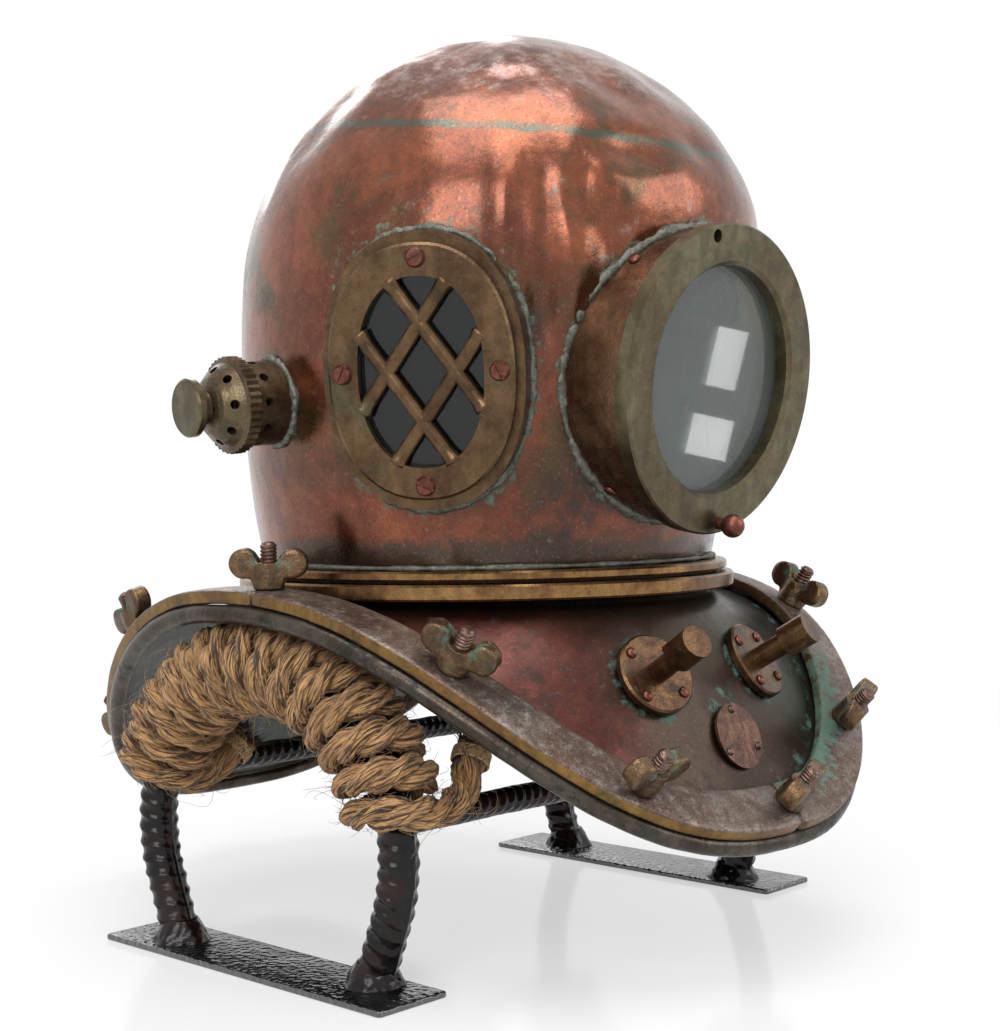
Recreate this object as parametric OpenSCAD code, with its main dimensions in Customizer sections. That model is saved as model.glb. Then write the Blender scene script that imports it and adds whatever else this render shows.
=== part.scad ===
// Hard-hat diving helmet resting on a stand of two bent, rope-wound bars.
// Millimetres, +Z up. The wearer faces -Y, so the wearer's left is towards +X.
// The origin lies on the floor, midway between the two arches of the stand.

/* [Stand] */
// Distance between the middles of the two foot plates
plate_span = 293; // [285:1:300]
// Length of a foot plate, front to back
plate_len = 205; // [190:1:230]
// Width of a foot plate
plate_w = 42; // [40:1:50]
// Thickness of a foot plate
plate_t = 3; // [2:0.5:5]
// Diameter of the ribbed bar that each arch is bent from
bar_d = 19; // [16:0.5:20]
// Distance between the middles of the two arches
arch_span = 289; // [285:1:293]
// Radius of an arch at the middle of its bar
arch_r = 82.6; // [80:0.1:86]
// Height of the middle of the bar at the top of an arch
arch_h = 145.2; // [140:0.1:155]
// How far the middle of an arch lies from the middle of the stand, front to back
arch_y = -3.3; // [-8:0.1:4]
// How far each arch is turned so that its front leg stands further in
arch_toe = 4; // [0:0.5:5]
// Lean of an arch's legs from upright
leg_lean = 20; // [14:1:24]
// Radius of the weld round the foot of a leg
weld_r = 14; // [12:0.5:16]
// Height of the weld round the foot of a leg
weld_h = 6; // [3:0.5:8]
// Diameter of the two straight bars that join the arches
cross_d = 12; // [8:0.5:13]
// Height of the front joining bar
cross_front_z = 78; // [74:1:84]
// Height of the rear joining bar
cross_rear_z = 88; // [82:1:92]

/* [Rope] */
// Thickness of the wound rope, measured away from the bar
rope_t = 15; // [12:0.5:16]
// Width of the rope where it lies free
rope_w = 16; // [13:0.5:17]
// Turns of rope on each arch
rope_turns = 13.5; // [10.5:1:13.5]
// Room between one turn and the next
rope_gap = 0.8; // [0.6:0.1:2]
// Room between the rope and the bar under it
rope_rest = 0.5; // [0.4:0.1:1]
// Straight run of the front tail before it bends up
tail_front_run = 14; // [8:1:20]
// Angle by which the front tail bends up
tail_front_bend = 55; // [30:5:70]
// Straight run of the rear tail before it bends up
tail_rear_run = 6; // [4:1:12]
// Angle by which the rear tail bends up
tail_rear_bend = 40; // [10:2:60]
// Radius of the bend in a tail
tail_bend_r = 20; // [16:1:26]
// Straight length at the end of a tail
tail_end = 20; // [18:1:26]
// Length of the twine whipping round each tail
whip_len = 7; // [4:0.5:9]
// Length of rope left free beyond a whipping
whip_end = 2.5; // [2:0.5:8]
// Thickness of the twine whipping
whip_t = 1; // [0.6:0.1:1.6]

/* [Corselet] */
// Thickness of the corselet's copper sheet
sheet_t = 2.5; // [1.5:0.1:3]
// Half the width of the rim across the shoulders, at the middle of the brails
rim_x = 151; // [150:1:156]
// Distance from the rim's middle to its front
rim_front = 206; // [200:1:212]
// Distance from the rim's middle to its rear
rim_rear = 208; // [200:1:214]
// How far the rim's middle lies behind the middle of the stand
rim_y = 5; // [2:1:8]
// Squareness of the rim seen from above, where 2 is an ellipse
rim_power = 2.4; // [2.2:0.1:2.6]
// How far the rim drops from the shoulders to the front
front_drop = 101; // [94:1:108]
// How far the rim drops from the shoulders to the rear
rear_drop = 118.4; // [108:1:124]
// How late the rim rises towards the shoulders
rim_rise = 2.5; // [2:0.1:3]
// How far the wearer's front left quarter of the rim is bent up
left_lift = 17; // [0:1:18]
// Slope of the rim flange at the front
slope_front = 42; // [36:1:48]
// Slope of the rim flange at the rear
slope_rear = 50; // [44:1:54]
// Slope of the rim flange at the shoulders
slope_shoulder = 2; // [0:1:4]
// Slope of the sheet just below the neck ring at the front and rear
neck_slope = 35; // [28:1:42]
// Slope of the sheet just below the neck ring at the shoulders
neck_slope_side = 5; // [2:1:10]
// Radius of the sheet rolled round the edge wire
edge_r = 4.5; // [3.5:0.1:5]

/* [Brails] */
// Width of a brail
brail_w = 25; // [22:0.5:26]
// Thickness of a brail
brail_t = 7; // [5:0.5:9]
// Bevel along the two top edges of a brail
brail_bevel = 2; // [1:0.5:3]
// Room left under the brails for the suit's rubber collar
collar_gap = 2; // [1.5:0.1:3]
// Room between the ends of two brails
brail_end_gap = 0.8; // [0.4:0.1:2]

/* [Studs and wing nuts] */
// Diameter of a brail stud
stud_d = 8; // [6:0.5:9]
// How far a stud stands above its brail
stud_tip = 22.5; // [18:0.5:24]
// Diameter of the collar at a stud's foot
stud_collar_d = 14; // [11:0.5:14]
// Place round the rim of the studs next to the front one
stud_angle_1 = 28.5; // [26:0.5:31]
// Place round the rim of the next studs
stud_angle_2 = 58.5; // [56:0.5:61]
// Place round the rim of the shoulder studs
stud_angle_3 = 87; // [85:0.5:89]
// Place round the rim of the studs behind the shoulders
stud_angle_4 = 115; // [112:0.5:118]
// Place round the rim of the studs next to the rear one
stud_angle_5 = 143; // [140:0.5:146]
// Diameter of a wing nut's hub
nut_hub_d = 15; // [13:0.5:16]
// Height of a wing nut's hub
nut_hub_h = 12.5; // [10:0.5:14]
// Reach of a wing from the middle of its nut
wing_reach = 18.5; // [16:0.1:18.8]
// Radius of the rounded end of a wing
wing_r = 7; // [5:0.5:7]
// Height of the middle of a wing's rounded end
wing_rise = 12; // [9:0.5:14]
// Thickness of a wing
wing_t = 8; // [6:0.5:9]

/* [Neck] */
// How far the neck lies behind the middle of the stand, negative is forward
neck_y = -11; // [-13:0.5:-9]
// Outer radius of the corselet's neck
neck_r = 118; // [117:0.1:119]
// How far the foot of the neck ring lies below the tops of the shoulder brails
neck_drop = 6.4; // [4:0.1:7]
// Height of the sheet's upright edge under the neck ring
neck_wall_h = 3; // [2:0.5:4]
// Outer radius of the corselet's neck ring
ring_r = 131; // [128:0.5:132]
// Thickness of the corselet's neck ring
ring_t = 7.6; // [6.6:0.1:9]
// Outer radius of the bonnet's neck ring
bonnet_ring_r = 127.5; // [125:0.5:130]
// Thickness of the bonnet's neck ring
bonnet_ring_t = 4.7; // [4:0.1:7]
// Thickness of the leather washer between the two rings
washer_t = 0.8; // [0.5:0.1:2]
// Inner radius of the bonnet ring's spigot
spigot_bore = 105; // [102:0.5:106]
// Wall of the bonnet ring's spigot
spigot_wall = 7; // [5:0.5:7.5]
// How far the spigot reaches below the bonnet ring
spigot_h = 14; // [12:0.5:18]
// How far each locking lug stands out
lug_h = 2.6; // [1.5:0.1:2.8]
// Thickness of a locking lug
lug_t = 3.5; // [2.5:0.1:4]
// Angle that each of the four locking lugs covers
lug_angle = 42; // [30:1:43]

/* [Bonnet] */
// Thickness of the bonnet's copper shell
shell_t = 2; // [1.2:0.1:3]
// Outer radius of the bonnet at its foot
base_r = 119.5; // [118:0.5:121]
// Outer radius of the bonnet at its widest
belly_r = 136.5; // [134:0.5:139]
// Height of the widest place above the neck rings
belly_h = 133.5; // [128:0.5:139]
// Height of the crown above the widest place
crown_h = 140.8; // [134:0.5:146]
// Roundness of the crown, where 2 is an ellipse
crown_power = 2.12; // [2:0.02:2.3]
// Forward lean of the bonnet
bonnet_lean = 6.8; // [4:0.2:8]
// Radius of the shell round the front light, seen from above
front_flat_r = 150; // [145:0.5:158]
// How far behind the neck's axis the middle of that rounding lies
front_flat_back = 16.2; // [10:0.2:20]

/* [Front light] */
// Place of the front light round the bonnet, towards the wearer's right
front_angle = -1; // [-2:0.1:2]
// Height of the middle of the front light where its axis meets the neck's axis
front_z = 300.7; // [296:0.1:306]
// Downward tilt of the front light
front_tilt = 8.7; // [6:0.1:11]
// How far the tube's front face stands out past the bonnet's widest radius
tube_proud = 12.7; // [10.5:0.1:16.5]
// Outer radius of the front tube
tube_r = 71; // [69:0.5:72]
// Wall of the tube round its threaded mouth
tube_mouth_wall = 7; // [6:0.1:8]
// Wall of the tube round the opening behind the glass
tube_wall = 14; // [13:0.5:17]
// Depth of the tube's mouth
tube_mouth_h = 10; // [9.8:0.1:12]
// How far the screwed front ring stands out past the tube
front_ring_over = 3; // [1:0.1:5]
// How far the front ring reaches in over the opening behind the glass
front_ring_lip = 2.4; // [1:0.1:5]
// Thickness of the front ring's flange
front_ring_t = 8; // [7:0.1:10]
// Wall of the front ring's threaded part
front_thread_t = 3.4; // [2.5:0.1:4]
// Thickness of the front glass
front_glass_t = 7; // [5:0.1:7]
// Distance of the middle of the knob and of its empty hole from the ring's edge
front_knob_in = 4.8; // [4:0.1:5]
// Place of the knob round the ring, from the wearer's left side upwards
front_knob_angle = -83; // [-85:1:-70]
// Place of the empty knob hole round the ring
front_hole_angle = 106.2; // [100:0.1:110]
// Diameter of the front knob's ball
front_knob_d = 11.5; // [9:0.5:13]
// Diameter of the front knob's stem
front_stem_d = 6; // [4:0.5:6.5]
// Diameter of the rivet heads on the front tube
tube_rivet_d = 6; // [4:0.5:8]

/* [Side lights] */
// Place of each side light round the bonnet from the front
side_angle = 57.4; // [56:0.1:59]
// Height of the middle of a side light
side_z = 302; // [297:0.5:307]
// Downward tilt of a side light
side_tilt = 8.4; // [6:0.1:10]
// Half the width of the seat under a side light
seat_a = 47; // [46:0.5:48]
// Half the height of the seat under a side light
seat_b = 63.5; // [62:0.5:65]
// How far the seat's face stands out past the bonnet's widest radius
seat_proud = 9; // [8.5:0.1:10.5]
// Half the width of the way through the seat
seat_open_a = 28.5; // [26:0.5:29]
// Half the height of the way through the seat
seat_open_b = 43; // [40:0.5:43.5]
// Half the width of a side glass
side_glass_a = 32; // [31:0.1:32.3]
// Half the height of a side glass
side_glass_b = 46.4; // [45:0.1:46.8]
// Thickness of a side glass
side_glass_t = 6; // [4:0.1:7]
// Half the width of a side light's frame
frame_a = 43.2; // [42.4:0.1:45]
// Half the height of a side light's frame
frame_b = 58.2; // [57.5:0.1:60]
// Half the width of the opening in a side light's frame
frame_open_a = 29.2; // [28:0.1:30]
// Half the height of the opening in a side light's frame
frame_open_b = 43.3; // [42:0.1:44]
// Thickness of a side light's frame
frame_t = 6; // [5:0.1:8]
// Bevel along the edges of a side light's frame
frame_bevel = 1.2; // [0.5:0.1:2]
// Squareness of the oval outlines, where 2 is an ellipse
oval_power = 2.25; // [2:0.05:2.5]
// Width of a guard bar across a side light
guard_w = 5.5; // [4:0.5:6.5]
// Thickness of a guard bar
guard_t = 4.5; // [3:0.1:5]
// Slant of the guard bars from level
guard_angle = 54.6; // [50:0.1:58]
// Distance of each guard bar from the middle of the light
guard_off = 13; // [11:0.5:15]
// Diameter of a frame screw's head
screw_head_d = 9.4; // [7:0.1:10]
// Height of a frame screw's head
screw_head_h = 1.8; // [1.2:0.1:2.5]
// Diameter of a frame screw's shank
screw_d = 4; // [3:0.1:4]
// Length of a frame screw's shank
screw_len = 12; // [10:0.5:13]

/* [Exhaust valve] */
// Place of the exhaust valve round the bonnet, towards the wearer's right
valve_angle = 98; // [96:0.5:100]
// Height of the middle of the exhaust valve
valve_z = 281.3; // [276:0.1:286]
// Downward tilt of the exhaust valve
valve_tilt = 4.5; // [2:0.5:6]
// Outer radius of the valve's base
valve_r = 20.5; // [19.5:0.1:21.5]
// How far the base's face stands out past the bonnet's widest radius
valve_proud = 15; // [14:0.1:17]
// Wall of the valve's base
valve_wall = 4; // [3:0.1:4.5]
// Radius of the milled rim of the cap
cap_rim_r = 23.4; // [22.5:0.1:25]
// Height of the milled rim of the cap
cap_rim_h = 6; // [4:0.1:7]
// Height of the cap's dome above its rim
cap_dome_h = 11; // [9:0.5:14]
// Radius of the top of the cap's dome
cap_top_r = 11; // [9:0.5:12]
// Height of the neck on the cap
cap_neck_h = 6; // [4:0.5:9]
// Radius of the neck on the cap
cap_neck_r = 8.5; // [6:0.5:9.5]
// Diameter of the holes in the base and the cap
vent_d = 4.5; // [3:0.1:5]
// Number of holes round the base
base_vents = 10; // [8:1:12]
// Number of holes round the cap
cap_vents = 8; // [6:1:8]
// Diameter of the valve's knob
valve_knob_d = 27.8; // [24:0.1:31]
// Thickness of the valve's knob
valve_knob_t = 5; // [4:0.5:8]
// Diameter of the valve's stem
valve_stem_d = 5; // [4:0.1:6]
// Radius of the valve's disc
valve_disc_r = 12; // [10:0.5:12.5]
// Radius of the opening under the valve's disc
valve_seat_r = 9; // [8:0.5:9.5]
// How far the stem and its disc can slide out
valve_travel = 6; // [4:0.5:7]

/* [Air inlet] */
// Place of the air inlet round the bonnet, from the front towards the wearer's right
inlet_angle = -155; // [-165:1:-150]
// Height of the middle of the air inlet
inlet_z = 262; // [255:1:270]
// Radius of the inlet's foot flange
inlet_flange_r = 19; // [17.5:0.5:21]
// Outer radius of the elbow's pipe
inlet_r = 12; // [11.5:0.1:13]
// Radius of the elbow's bore
inlet_bore_r = 8; // [7:0.1:8.5]
// Radius of the elbow's bend at its middle
inlet_bend_r = 18; // [16:0.5:22]
// How far the elbow's bend stands out past the bonnet's widest radius
inlet_proud = 15.5; // [13.5:0.5:19.5]
// Turn of the elbow down from level
inlet_bend = 50; // [40:1:60]
// Radius of the hose spigot
hose_r = 13; // [12.2:0.1:14]
// Length of the hose spigot
hose_len = 16; // [12:0.5:20]

/* [Breast fittings] */
// Distance of each weight stud from the middle of the breast
weight_x = 39.6; // [34:0.1:44]
// Distance of the weight studs in front of the stand's middle
weight_y = 153.9; // [152:0.1:156]
// How far the weight studs lie below the tops of the shoulder brails
weight_drop = 42.5; // [40:0.1:45]
// Upward slant of the weight studs
weight_slant = 30.6; // [26:0.1:36]
// Sideways slant of the weight studs
weight_splay = 12; // [4:0.5:14]
// Diameter of a weight stud's flange
weight_flange_d = 40; // [34:0.5:44]
// Thickness of a weight stud's flange
weight_flange_t = 4; // [3:0.5:6]
// Diameter of a weight stud's shank
weight_shank_d = 10.6; // [8:0.1:12]
// Length of a weight stud's shank
weight_shank_h = 17; // [12:0.5:22]
// Diameter of a weight stud's head
weight_head_d = 15.6; // [13:0.1:18]
// Length of a weight stud's head
weight_head_h = 15; // [8:0.5:18]
// Diameter of the rivets in a weight stud's flange
flange_rivet_d = 5; // [4:0.5:6]
// Diameter of the bare round plate on the breast
badge_d = 32; // [28:0.5:36]
// Thickness of the bare round plate
badge_t = 1.5; // [1:0.1:2.5]
// How far the round plate lies below the tops of the shoulder brails
badge_drop = 73.2; // [70:0.1:76]
// Distance of the round plate in front of the stand's middle
badge_y = 172.9; // [171:0.1:175]
// Slant of the round plate's face above level
badge_slant = 22; // [14:1:28]
// Diameter of the screws in the round plate
badge_screw_d = 4; // [3:0.1:5]

/* [Hidden] */
$fn = 96;
// Room left between two hard parts that lie against each other
rest_gap = 0.3;
// Room left round a pin in its hole
pin_gap = 0.15;
// Turns and pitch of the front ring's thread
thread_turns = 3;
thread_pitch = 3;
// How far a cutting solid reaches past what it cuts
past = 1;

brail_names = ["front_right", "front_left", "rear_right", "rear_left"];
stud_angles = [0, stud_angle_1, stud_angle_2, stud_angle_3, stud_angle_4, stud_angle_5,
    180, -stud_angle_5, -stud_angle_4, -stud_angle_3, -stud_angle_2, -stud_angle_1];
// Each wing nut was left at its own angle when it was tightened.
nut_turns = [18, -20, 12, -30, 15, -12, 34, 25, 0, 40, 8, 43];

// Heights that follow from the stand: the helmet's shoulders rest on the rope.
rope_out = bar_d / 2 + rope_rest + rope_t;
// The corselet's flange rests on the rope.
shell_rest = 0.45;
flange_bottom = arch_h + rope_out + shell_rest;
shoulder_h = flange_bottom + sheet_t + collar_gap + brail_t;
neck_z = shoulder_h - neck_drop;
washer_gap = washer_t + 2 * rest_gap;
bonnet_ring_z = neck_z + ring_t + washer_gap;
bonnet_z = bonnet_ring_z + bonnet_ring_t;
light_base = bonnet_z - 189.1;

function sgn_pow(v, p) = sign(v) * pow(abs(v), p);
function unit(v) = v / norm(v);
function mix(a, b, u) = a + (b - a) * u;
function smooth(u) = let (c = min(1, max(0, u))) c * c * (3 - 2 * c);

// Meshes swept through rings of points

// Joins rings of points, each seen anticlockwise from the end, into one closed solid.
module loft(rings, closed = false) {
    n = len(rings);
    m = len(rings[0]);
    last = closed ? n - 1 : n - 2;
    points = [for (r = rings) each r];
    sides = [for (i = [0:last]) for (j = [0:m - 1])
        let (k = (i + 1) % n, l = (j + 1) % m)
        each [[i * m + j, k * m + j, k * m + l], [i * m + j, k * m + l, i * m + l]]];
    ends = closed ? [] : [[for (j = [0:m - 1]) j], [for (j = [m - 1:-1:0]) (n - 1) * m + j]];
    faces = concat(sides, ends);
    // The rings of an open loft count their points the other way round.
    polyhedron(points, closed ? faces : [for (f = faces) [for (i = [len(f) - 1:-1:0]) f[i]]],
        convexity = 10);
}

// The rim of the corselet

function rim_low(a) = shoulder_h - (cos(a) > 0 ? front_drop : rear_drop);
function rim_lift(a) = sin(a) > 0 && cos(a) > 0 ? left_lift * pow(sin(2 * a), 2) : 0;
// The middle of the brails' top, at angle a from the front towards the wearer's left
function rim_point(a) = [
    rim_x * sgn_pow(sin(a), 2 / rim_power),
    rim_y - (cos(a) > 0 ? rim_front : rim_rear) * sgn_pow(cos(a), 2 / rim_power),
    mix(rim_low(a), shoulder_h, pow(abs(sin(a)), rim_rise)) + rim_lift(a)];
function rim_slope(a) =
    mix(cos(a) > 0 ? slope_front : slope_rear, slope_shoulder, pow(abs(sin(a)), 4));
// Returns [point, direction across and outwards, direction along, direction off the rim].
function rim_frame(a) = let (
    along = unit(rim_point(a + 0.5) - rim_point(a - 0.5)),
    out = unit([along[1], -along[0], 0]),
    down = out * cos(rim_slope(a)) - [0, 0, sin(rim_slope(a))],
    off = unit(cross(down, along)))
    [rim_point(a), cross(along, off), along, off];
function at_rim(a, across, up) = let (f = rim_frame(a)) f[0] + f[1] * across + f[3] * up;
module on_rim(a) {
    f = rim_frame(a);
    multmatrix([[f[1][0], f[2][0], f[3][0], f[0][0]],
        [f[1][1], f[2][1], f[3][1], f[0][1]],
        [f[1][2], f[2][2], f[3][2], f[0][2]]]) children();
}
sheet_top = -(brail_t + collar_gap);

// Places on the bonnet

// Local +Z points out of the helmet and local +Y up.
module on_port(angle, z, tilt) {
    translate([0, neck_y, z + light_base]) rotate([0, 0, -angle]) rotate([90 - tilt, 0, 0]) children();
}
module on_front() {
    on_port(front_angle, front_z, -front_tilt) children();
}
module on_side(side) {
    on_port(side * side_angle, side_z, -side_tilt) children();
}
module on_valve() {
    on_port(valve_angle, valve_z, -valve_tilt) children();
}
module on_inlet() {
    on_port(inlet_angle, inlet_z, 0) children();
}

// Faces and walls of what is let into the bonnet. Each starts at port_start, well inside the shell.
port_start = 0.6 * belly_r;
tube_face = belly_r + tube_proud;
tube_mouth_r = tube_r - tube_mouth_wall;
tube_bore_r = tube_r - tube_wall;
front_ring_r = tube_r + front_ring_over;
front_open_r = tube_bore_r - front_ring_lip;
front_knob_pcr = front_ring_r - front_knob_in;
seat_face = belly_r + seat_proud;
valve_face = belly_r + valve_proud;
inlet_face = belly_r + inlet_proud;

// Half the bonnet's outline at radius shrink inside its outer face, from foot to crown
front_flat_z = -front_flat_back;
front_flat_tilt = 2.6;
function bonnet_outline(shrink) = concat(
    [for (i = [0:11]) let (h = mix(-16, belly_h, i / 12), u = (belly_h - h) / belly_h)
        [belly_r - (belly_r - base_r) * u * u - shrink, h]],
    [for (i = [0:23]) let (t = i * 90 / 24)
        [(belly_r - shrink) * pow(cos(t), 2 / crown_power),
        belly_h + (crown_h - shrink) * pow(sin(t), 2 / crown_power)]],
    [[0, belly_h + crown_h - shrink]]);
module leaned() {
    translate([0, neck_y, bonnet_z]) rotate([bonnet_lean, 0, 0]) children();
}
// The space inside the bonnet, which trims what is let into its wall
// The shell is flatter round the front light than elsewhere.
module bonnet_front(shrink) {
    on_front() translate([0, 0, front_flat_z]) rotate([front_flat_tilt - 90, 0, 0])
        translate([0, 0, -2 * belly_r]) cylinder(r = front_flat_r - shrink, h = 4 * belly_r, $fn = 128);
}
module bonnet_core(shrink = shell_t) {
    intersection() {
        leaned() rotate_extrude($fn = 128)
            polygon(concat([[0, -16]], bonnet_outline(shrink)));
        bonnet_front(shrink);
    }
}

// The stand

arch_z = arch_h - arch_r;
leg_step = 0.01;
leg_in = 0.5;
foot_t = (arch_z - plate_t - arch_r * sin(leg_lean)) / cos(leg_lean);
cross_rear_t = asin((cross_rear_z - arch_z) / arch_r);
cross_front_t = 180 - asin((cross_front_z - arch_z) / arch_r);
module on_arch(side) {
    translate([side * arch_span / 2, 0, 0]) rotate([0, 0, -side * arch_toe]) children();
}
function arch_at(t) = [0, arch_y + arch_r * cos(t), arch_z + arch_r * sin(t)];

module foot_plates() {
    color("#26262a") for (side = [-1, 1])
        translate([side * plate_span / 2 - plate_w / 2, -plate_len / 2, 0])
            cube([plate_w, plate_len, plate_t]);
}

module arch_weld(t) {
    weld = arch_at(t) + foot_t * [0, sin(t) * sign(cos(t)), -abs(cos(t))];
    translate([weld[0], weld[1], plate_t]) cylinder(r1 = weld_r, r2 = bar_d / 2, h = weld_h, $fn = 48);
}

module arch_bar() {
    // The bend, and a straight leg from each of its ends down into the foot plate. A leg starts a
    // little inside the bend and is a hair thinner, so that the two join as one solid.
    leg = foot_t + bar_d;
    leg_d = bar_d - 2 * leg_step;
    translate([0, arch_y, arch_z]) rotate([90, 0, 90]) rotate([0, 0, -leg_lean]) {
        rotate_extrude(angle = 180 + 2 * leg_lean, $fn = 96)
            translate([arch_r, 0]) circle(d = bar_d, $fn = 48);
        translate([arch_r, leg_in, 0]) rotate([90, 0, 0])
            cylinder(d = leg_d, h = leg + leg_in, $fn = 48);
        rotate([0, 0, 180 + 2 * leg_lean]) translate([arch_r, -leg_in, 0])
            rotate([-90, 0, 0]) cylinder(d = leg_d, h = leg + leg_in, $fn = 48);
    }
}

module stand_arch(side) {
    color("#2a2022") difference() {
        on_arch(side) {
            arch_bar();
            arch_weld(-leg_lean);
            arch_weld(180 + leg_lean);
        }
        translate([side * plate_span / 2 - plate_w, -plate_len, plate_t - 3 * bar_d])
            cube([2 * plate_w, 2 * plate_len, 3 * bar_d]);
    }
}

module stand_crossbars() {
    color("#1d1c1e") for (t = [cross_rear_t, cross_front_t]) difference() {
        p = arch_at(t);
        // The arch leans out of its own plane by the toe angle.
        y = p[1] * cos(arch_toe);
        half = arch_span / 2 + p[1] * sin(arch_toe);
        translate([-half, y, p[2]]) rotate([0, 90, 0]) cylinder(d = cross_d, h = 2 * half, $fn = 48);
        for (side = [-1, 1]) on_arch(side) translate([0, arch_y, arch_z]) rotate([90, 0, 90])
            rotate_extrude($fn = 96) translate([arch_r, 0]) circle(r = bar_d / 2 + rest_gap, $fn = 48);
    }
}

// The rope

rope_rho = bar_d / 2 + rope_rest + rope_t / 2;
rope_steps = 24;
cross_room = (cross_d / 2 + rest_gap + rope_w / 2) / arch_r * 180 / PI;
// The turns fill the arch between the two joining bars, and each tail goes on past its bar.
wrap_pitch = (cross_front_t - cross_rear_t - 2 * cross_room) / (rope_turns - 1.5);
wrap_start = cross_rear_t + cross_room - 0.75 * wrap_pitch;
wrap_end = wrap_start + rope_turns * wrap_pitch;
function wrap_t(turn) = wrap_start + wrap_pitch * turn;
function wrap_half(turn) = let (psi = 180 + 360 * turn)
    (wrap_pitch * PI / 180 * (arch_r + rope_rho * cos(psi)) - rope_gap) / 2;
// One ring of six points: wide goes along the bar and thick away from it.
function rope_ring(p, away, along, wide, thick) =
    [for (j = [0:5]) p + along * wide * cos(60 * j) + away * thick * sin(60 * j)];
rope_thick = rope_t / 2 / cos(30);
function wrap_ring(turn) = let (
    t = wrap_t(turn),
    psi = 180 + 360 * turn,
    e1 = [0, cos(t), sin(t)],
    away = e1 * cos(psi) + [sin(psi), 0, 0],
    fade = smooth(min(turn, rope_turns - turn) * 4),
    wide = min(mix(rope_w / 2, wrap_half(turn), 1), mix(rope_w / 2, wrap_half(turn), fade)))
    rope_ring(arch_at(t) + away * rope_rho, away, [0, -sin(t), cos(t)], wide, rope_thick);
// A tail leaves the bar sideways, bends up and ends straight.
function tail_place(run, bend, s) = let (arc = tail_bend_r * bend * PI / 180)
    s < run ? [s, 0, 0]
    : s < run + arc ? let (b = (s - run) / tail_bend_r * 180 / PI)
        [run + tail_bend_r * sin(b), tail_bend_r * (1 - cos(b)), b]
    : [run + tail_bend_r * sin(bend) + (s - run - arc) * cos(bend),
        tail_bend_r * (1 - cos(bend)) + (s - run - arc) * sin(bend), bend];
function tail_len(run, bend) = run + tail_bend_r * bend * PI / 180 + tail_end;
function tail_ring(front, s) = let (
    t = front ? wrap_end : wrap_start,
    run = front ? tail_front_run : tail_rear_run,
    bend = front ? tail_front_bend : tail_rear_bend,
    q = tail_place(run, bend, s),
    e1 = [0, cos(t), sin(t)],
    along = [0, -sin(t), cos(t)],
    flip = front ? -1 : 1,
    start = arch_at(t) - e1 * rope_rho * flip,
    p = start + [q[0], 0, 0] + along * q[1] * flip,
    across = along * cos(q[2]) - [sin(q[2]), 0, 0] * flip)
    rope_ring(p, -e1 * flip, across, rope_w / 2, mix(rope_thick, rope_w / 2, smooth(s / rope_w)));
tail_steps = 7;
rope_rings = concat(
    [for (i = [tail_steps:-1:1]) tail_ring(false, tail_len(tail_rear_run, tail_rear_bend) * i / tail_steps)],
    [for (i = [0:rope_turns * rope_steps]) wrap_ring(i / rope_steps)],
    [for (i = [1:tail_steps]) tail_ring(true, tail_len(tail_front_run, tail_front_bend) * i / tail_steps)]);

// Least distance from the points of one ring to the rings about one turn further on
function ring_gap(a, b) = min([for (p = a) for (q = b) norm(p - q)]);
function rope_least_gap() = min([for (i = [0:len(rope_rings) - 1])
    for (j = [i + rope_steps - 4:i + rope_steps + 4]) if (j < len(rope_rings))
        ring_gap(rope_rings[i], rope_rings[j])]);

module rope_winding(side) {
    echo(least_gap_between_turns = rope_least_gap());
    color("#b98a4e") scale_side(side) on_arch(-1) loft(rope_rings);
}
// The wearer's left half mirrors the right.
module scale_side(side) {
    if (side < 0) children();
    else mirror([1, 0, 0]) children();
}

module whipping(front) {
    t = front ? wrap_end : wrap_start;
    run = front ? tail_front_run : tail_rear_run;
    bend = front ? tail_front_bend : tail_rear_bend;
    flip = front ? -1 : 1;
    q = tail_place(run, bend, tail_len(run, bend) - whip_end - whip_len);
    p = arch_at(t) - [0, cos(t), sin(t)] * rope_rho * flip + [q[0], 0, 0] + [0, -sin(t), cos(t)] * q[1] * flip;
    d = [cos(q[2]), -sin(t) * sin(q[2]) * flip, cos(t) * sin(q[2]) * flip];
    r_in = rope_w / 2 + rest_gap;
    translate(p) rotate([0, acos(d[2]), atan2(d[1], d[0])]) difference() {
        cylinder(r = r_in + whip_t, h = whip_len, $fn = 32);
        translate([0, 0, -past]) cylinder(r = r_in, h = whip_len + 2 * past, $fn = 32);
    }
}
module rope_whippings() {
    color("#d8c199") for (side = [-1, 1], front = [false, true])
        scale_side(side) on_arch(-1) whipping(front);
}

// The corselet

edge_across = brail_w / 2 - 1;
edge_up = -(brail_t + rest_gap + edge_r);
bez_steps = 8;
// How far the sheet runs straight on from the neck and from the flange, as shares of its way
neck_pull = 0.42;
neck_pull_side = 0.25;
heel_pull = 0.14;
function neck_slope_at(a) = mix(neck_slope, neck_slope_side, pow(sin(a), 2));
function neck_dir(a) = [sin(a), -cos(a), 0];
function bezier(a, b, c, d, u) =
    a * pow(1 - u, 3) + b * 3 * u * pow(1 - u, 2) + c * 3 * u * u * (1 - u) + d * pow(u, 3);
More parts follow.
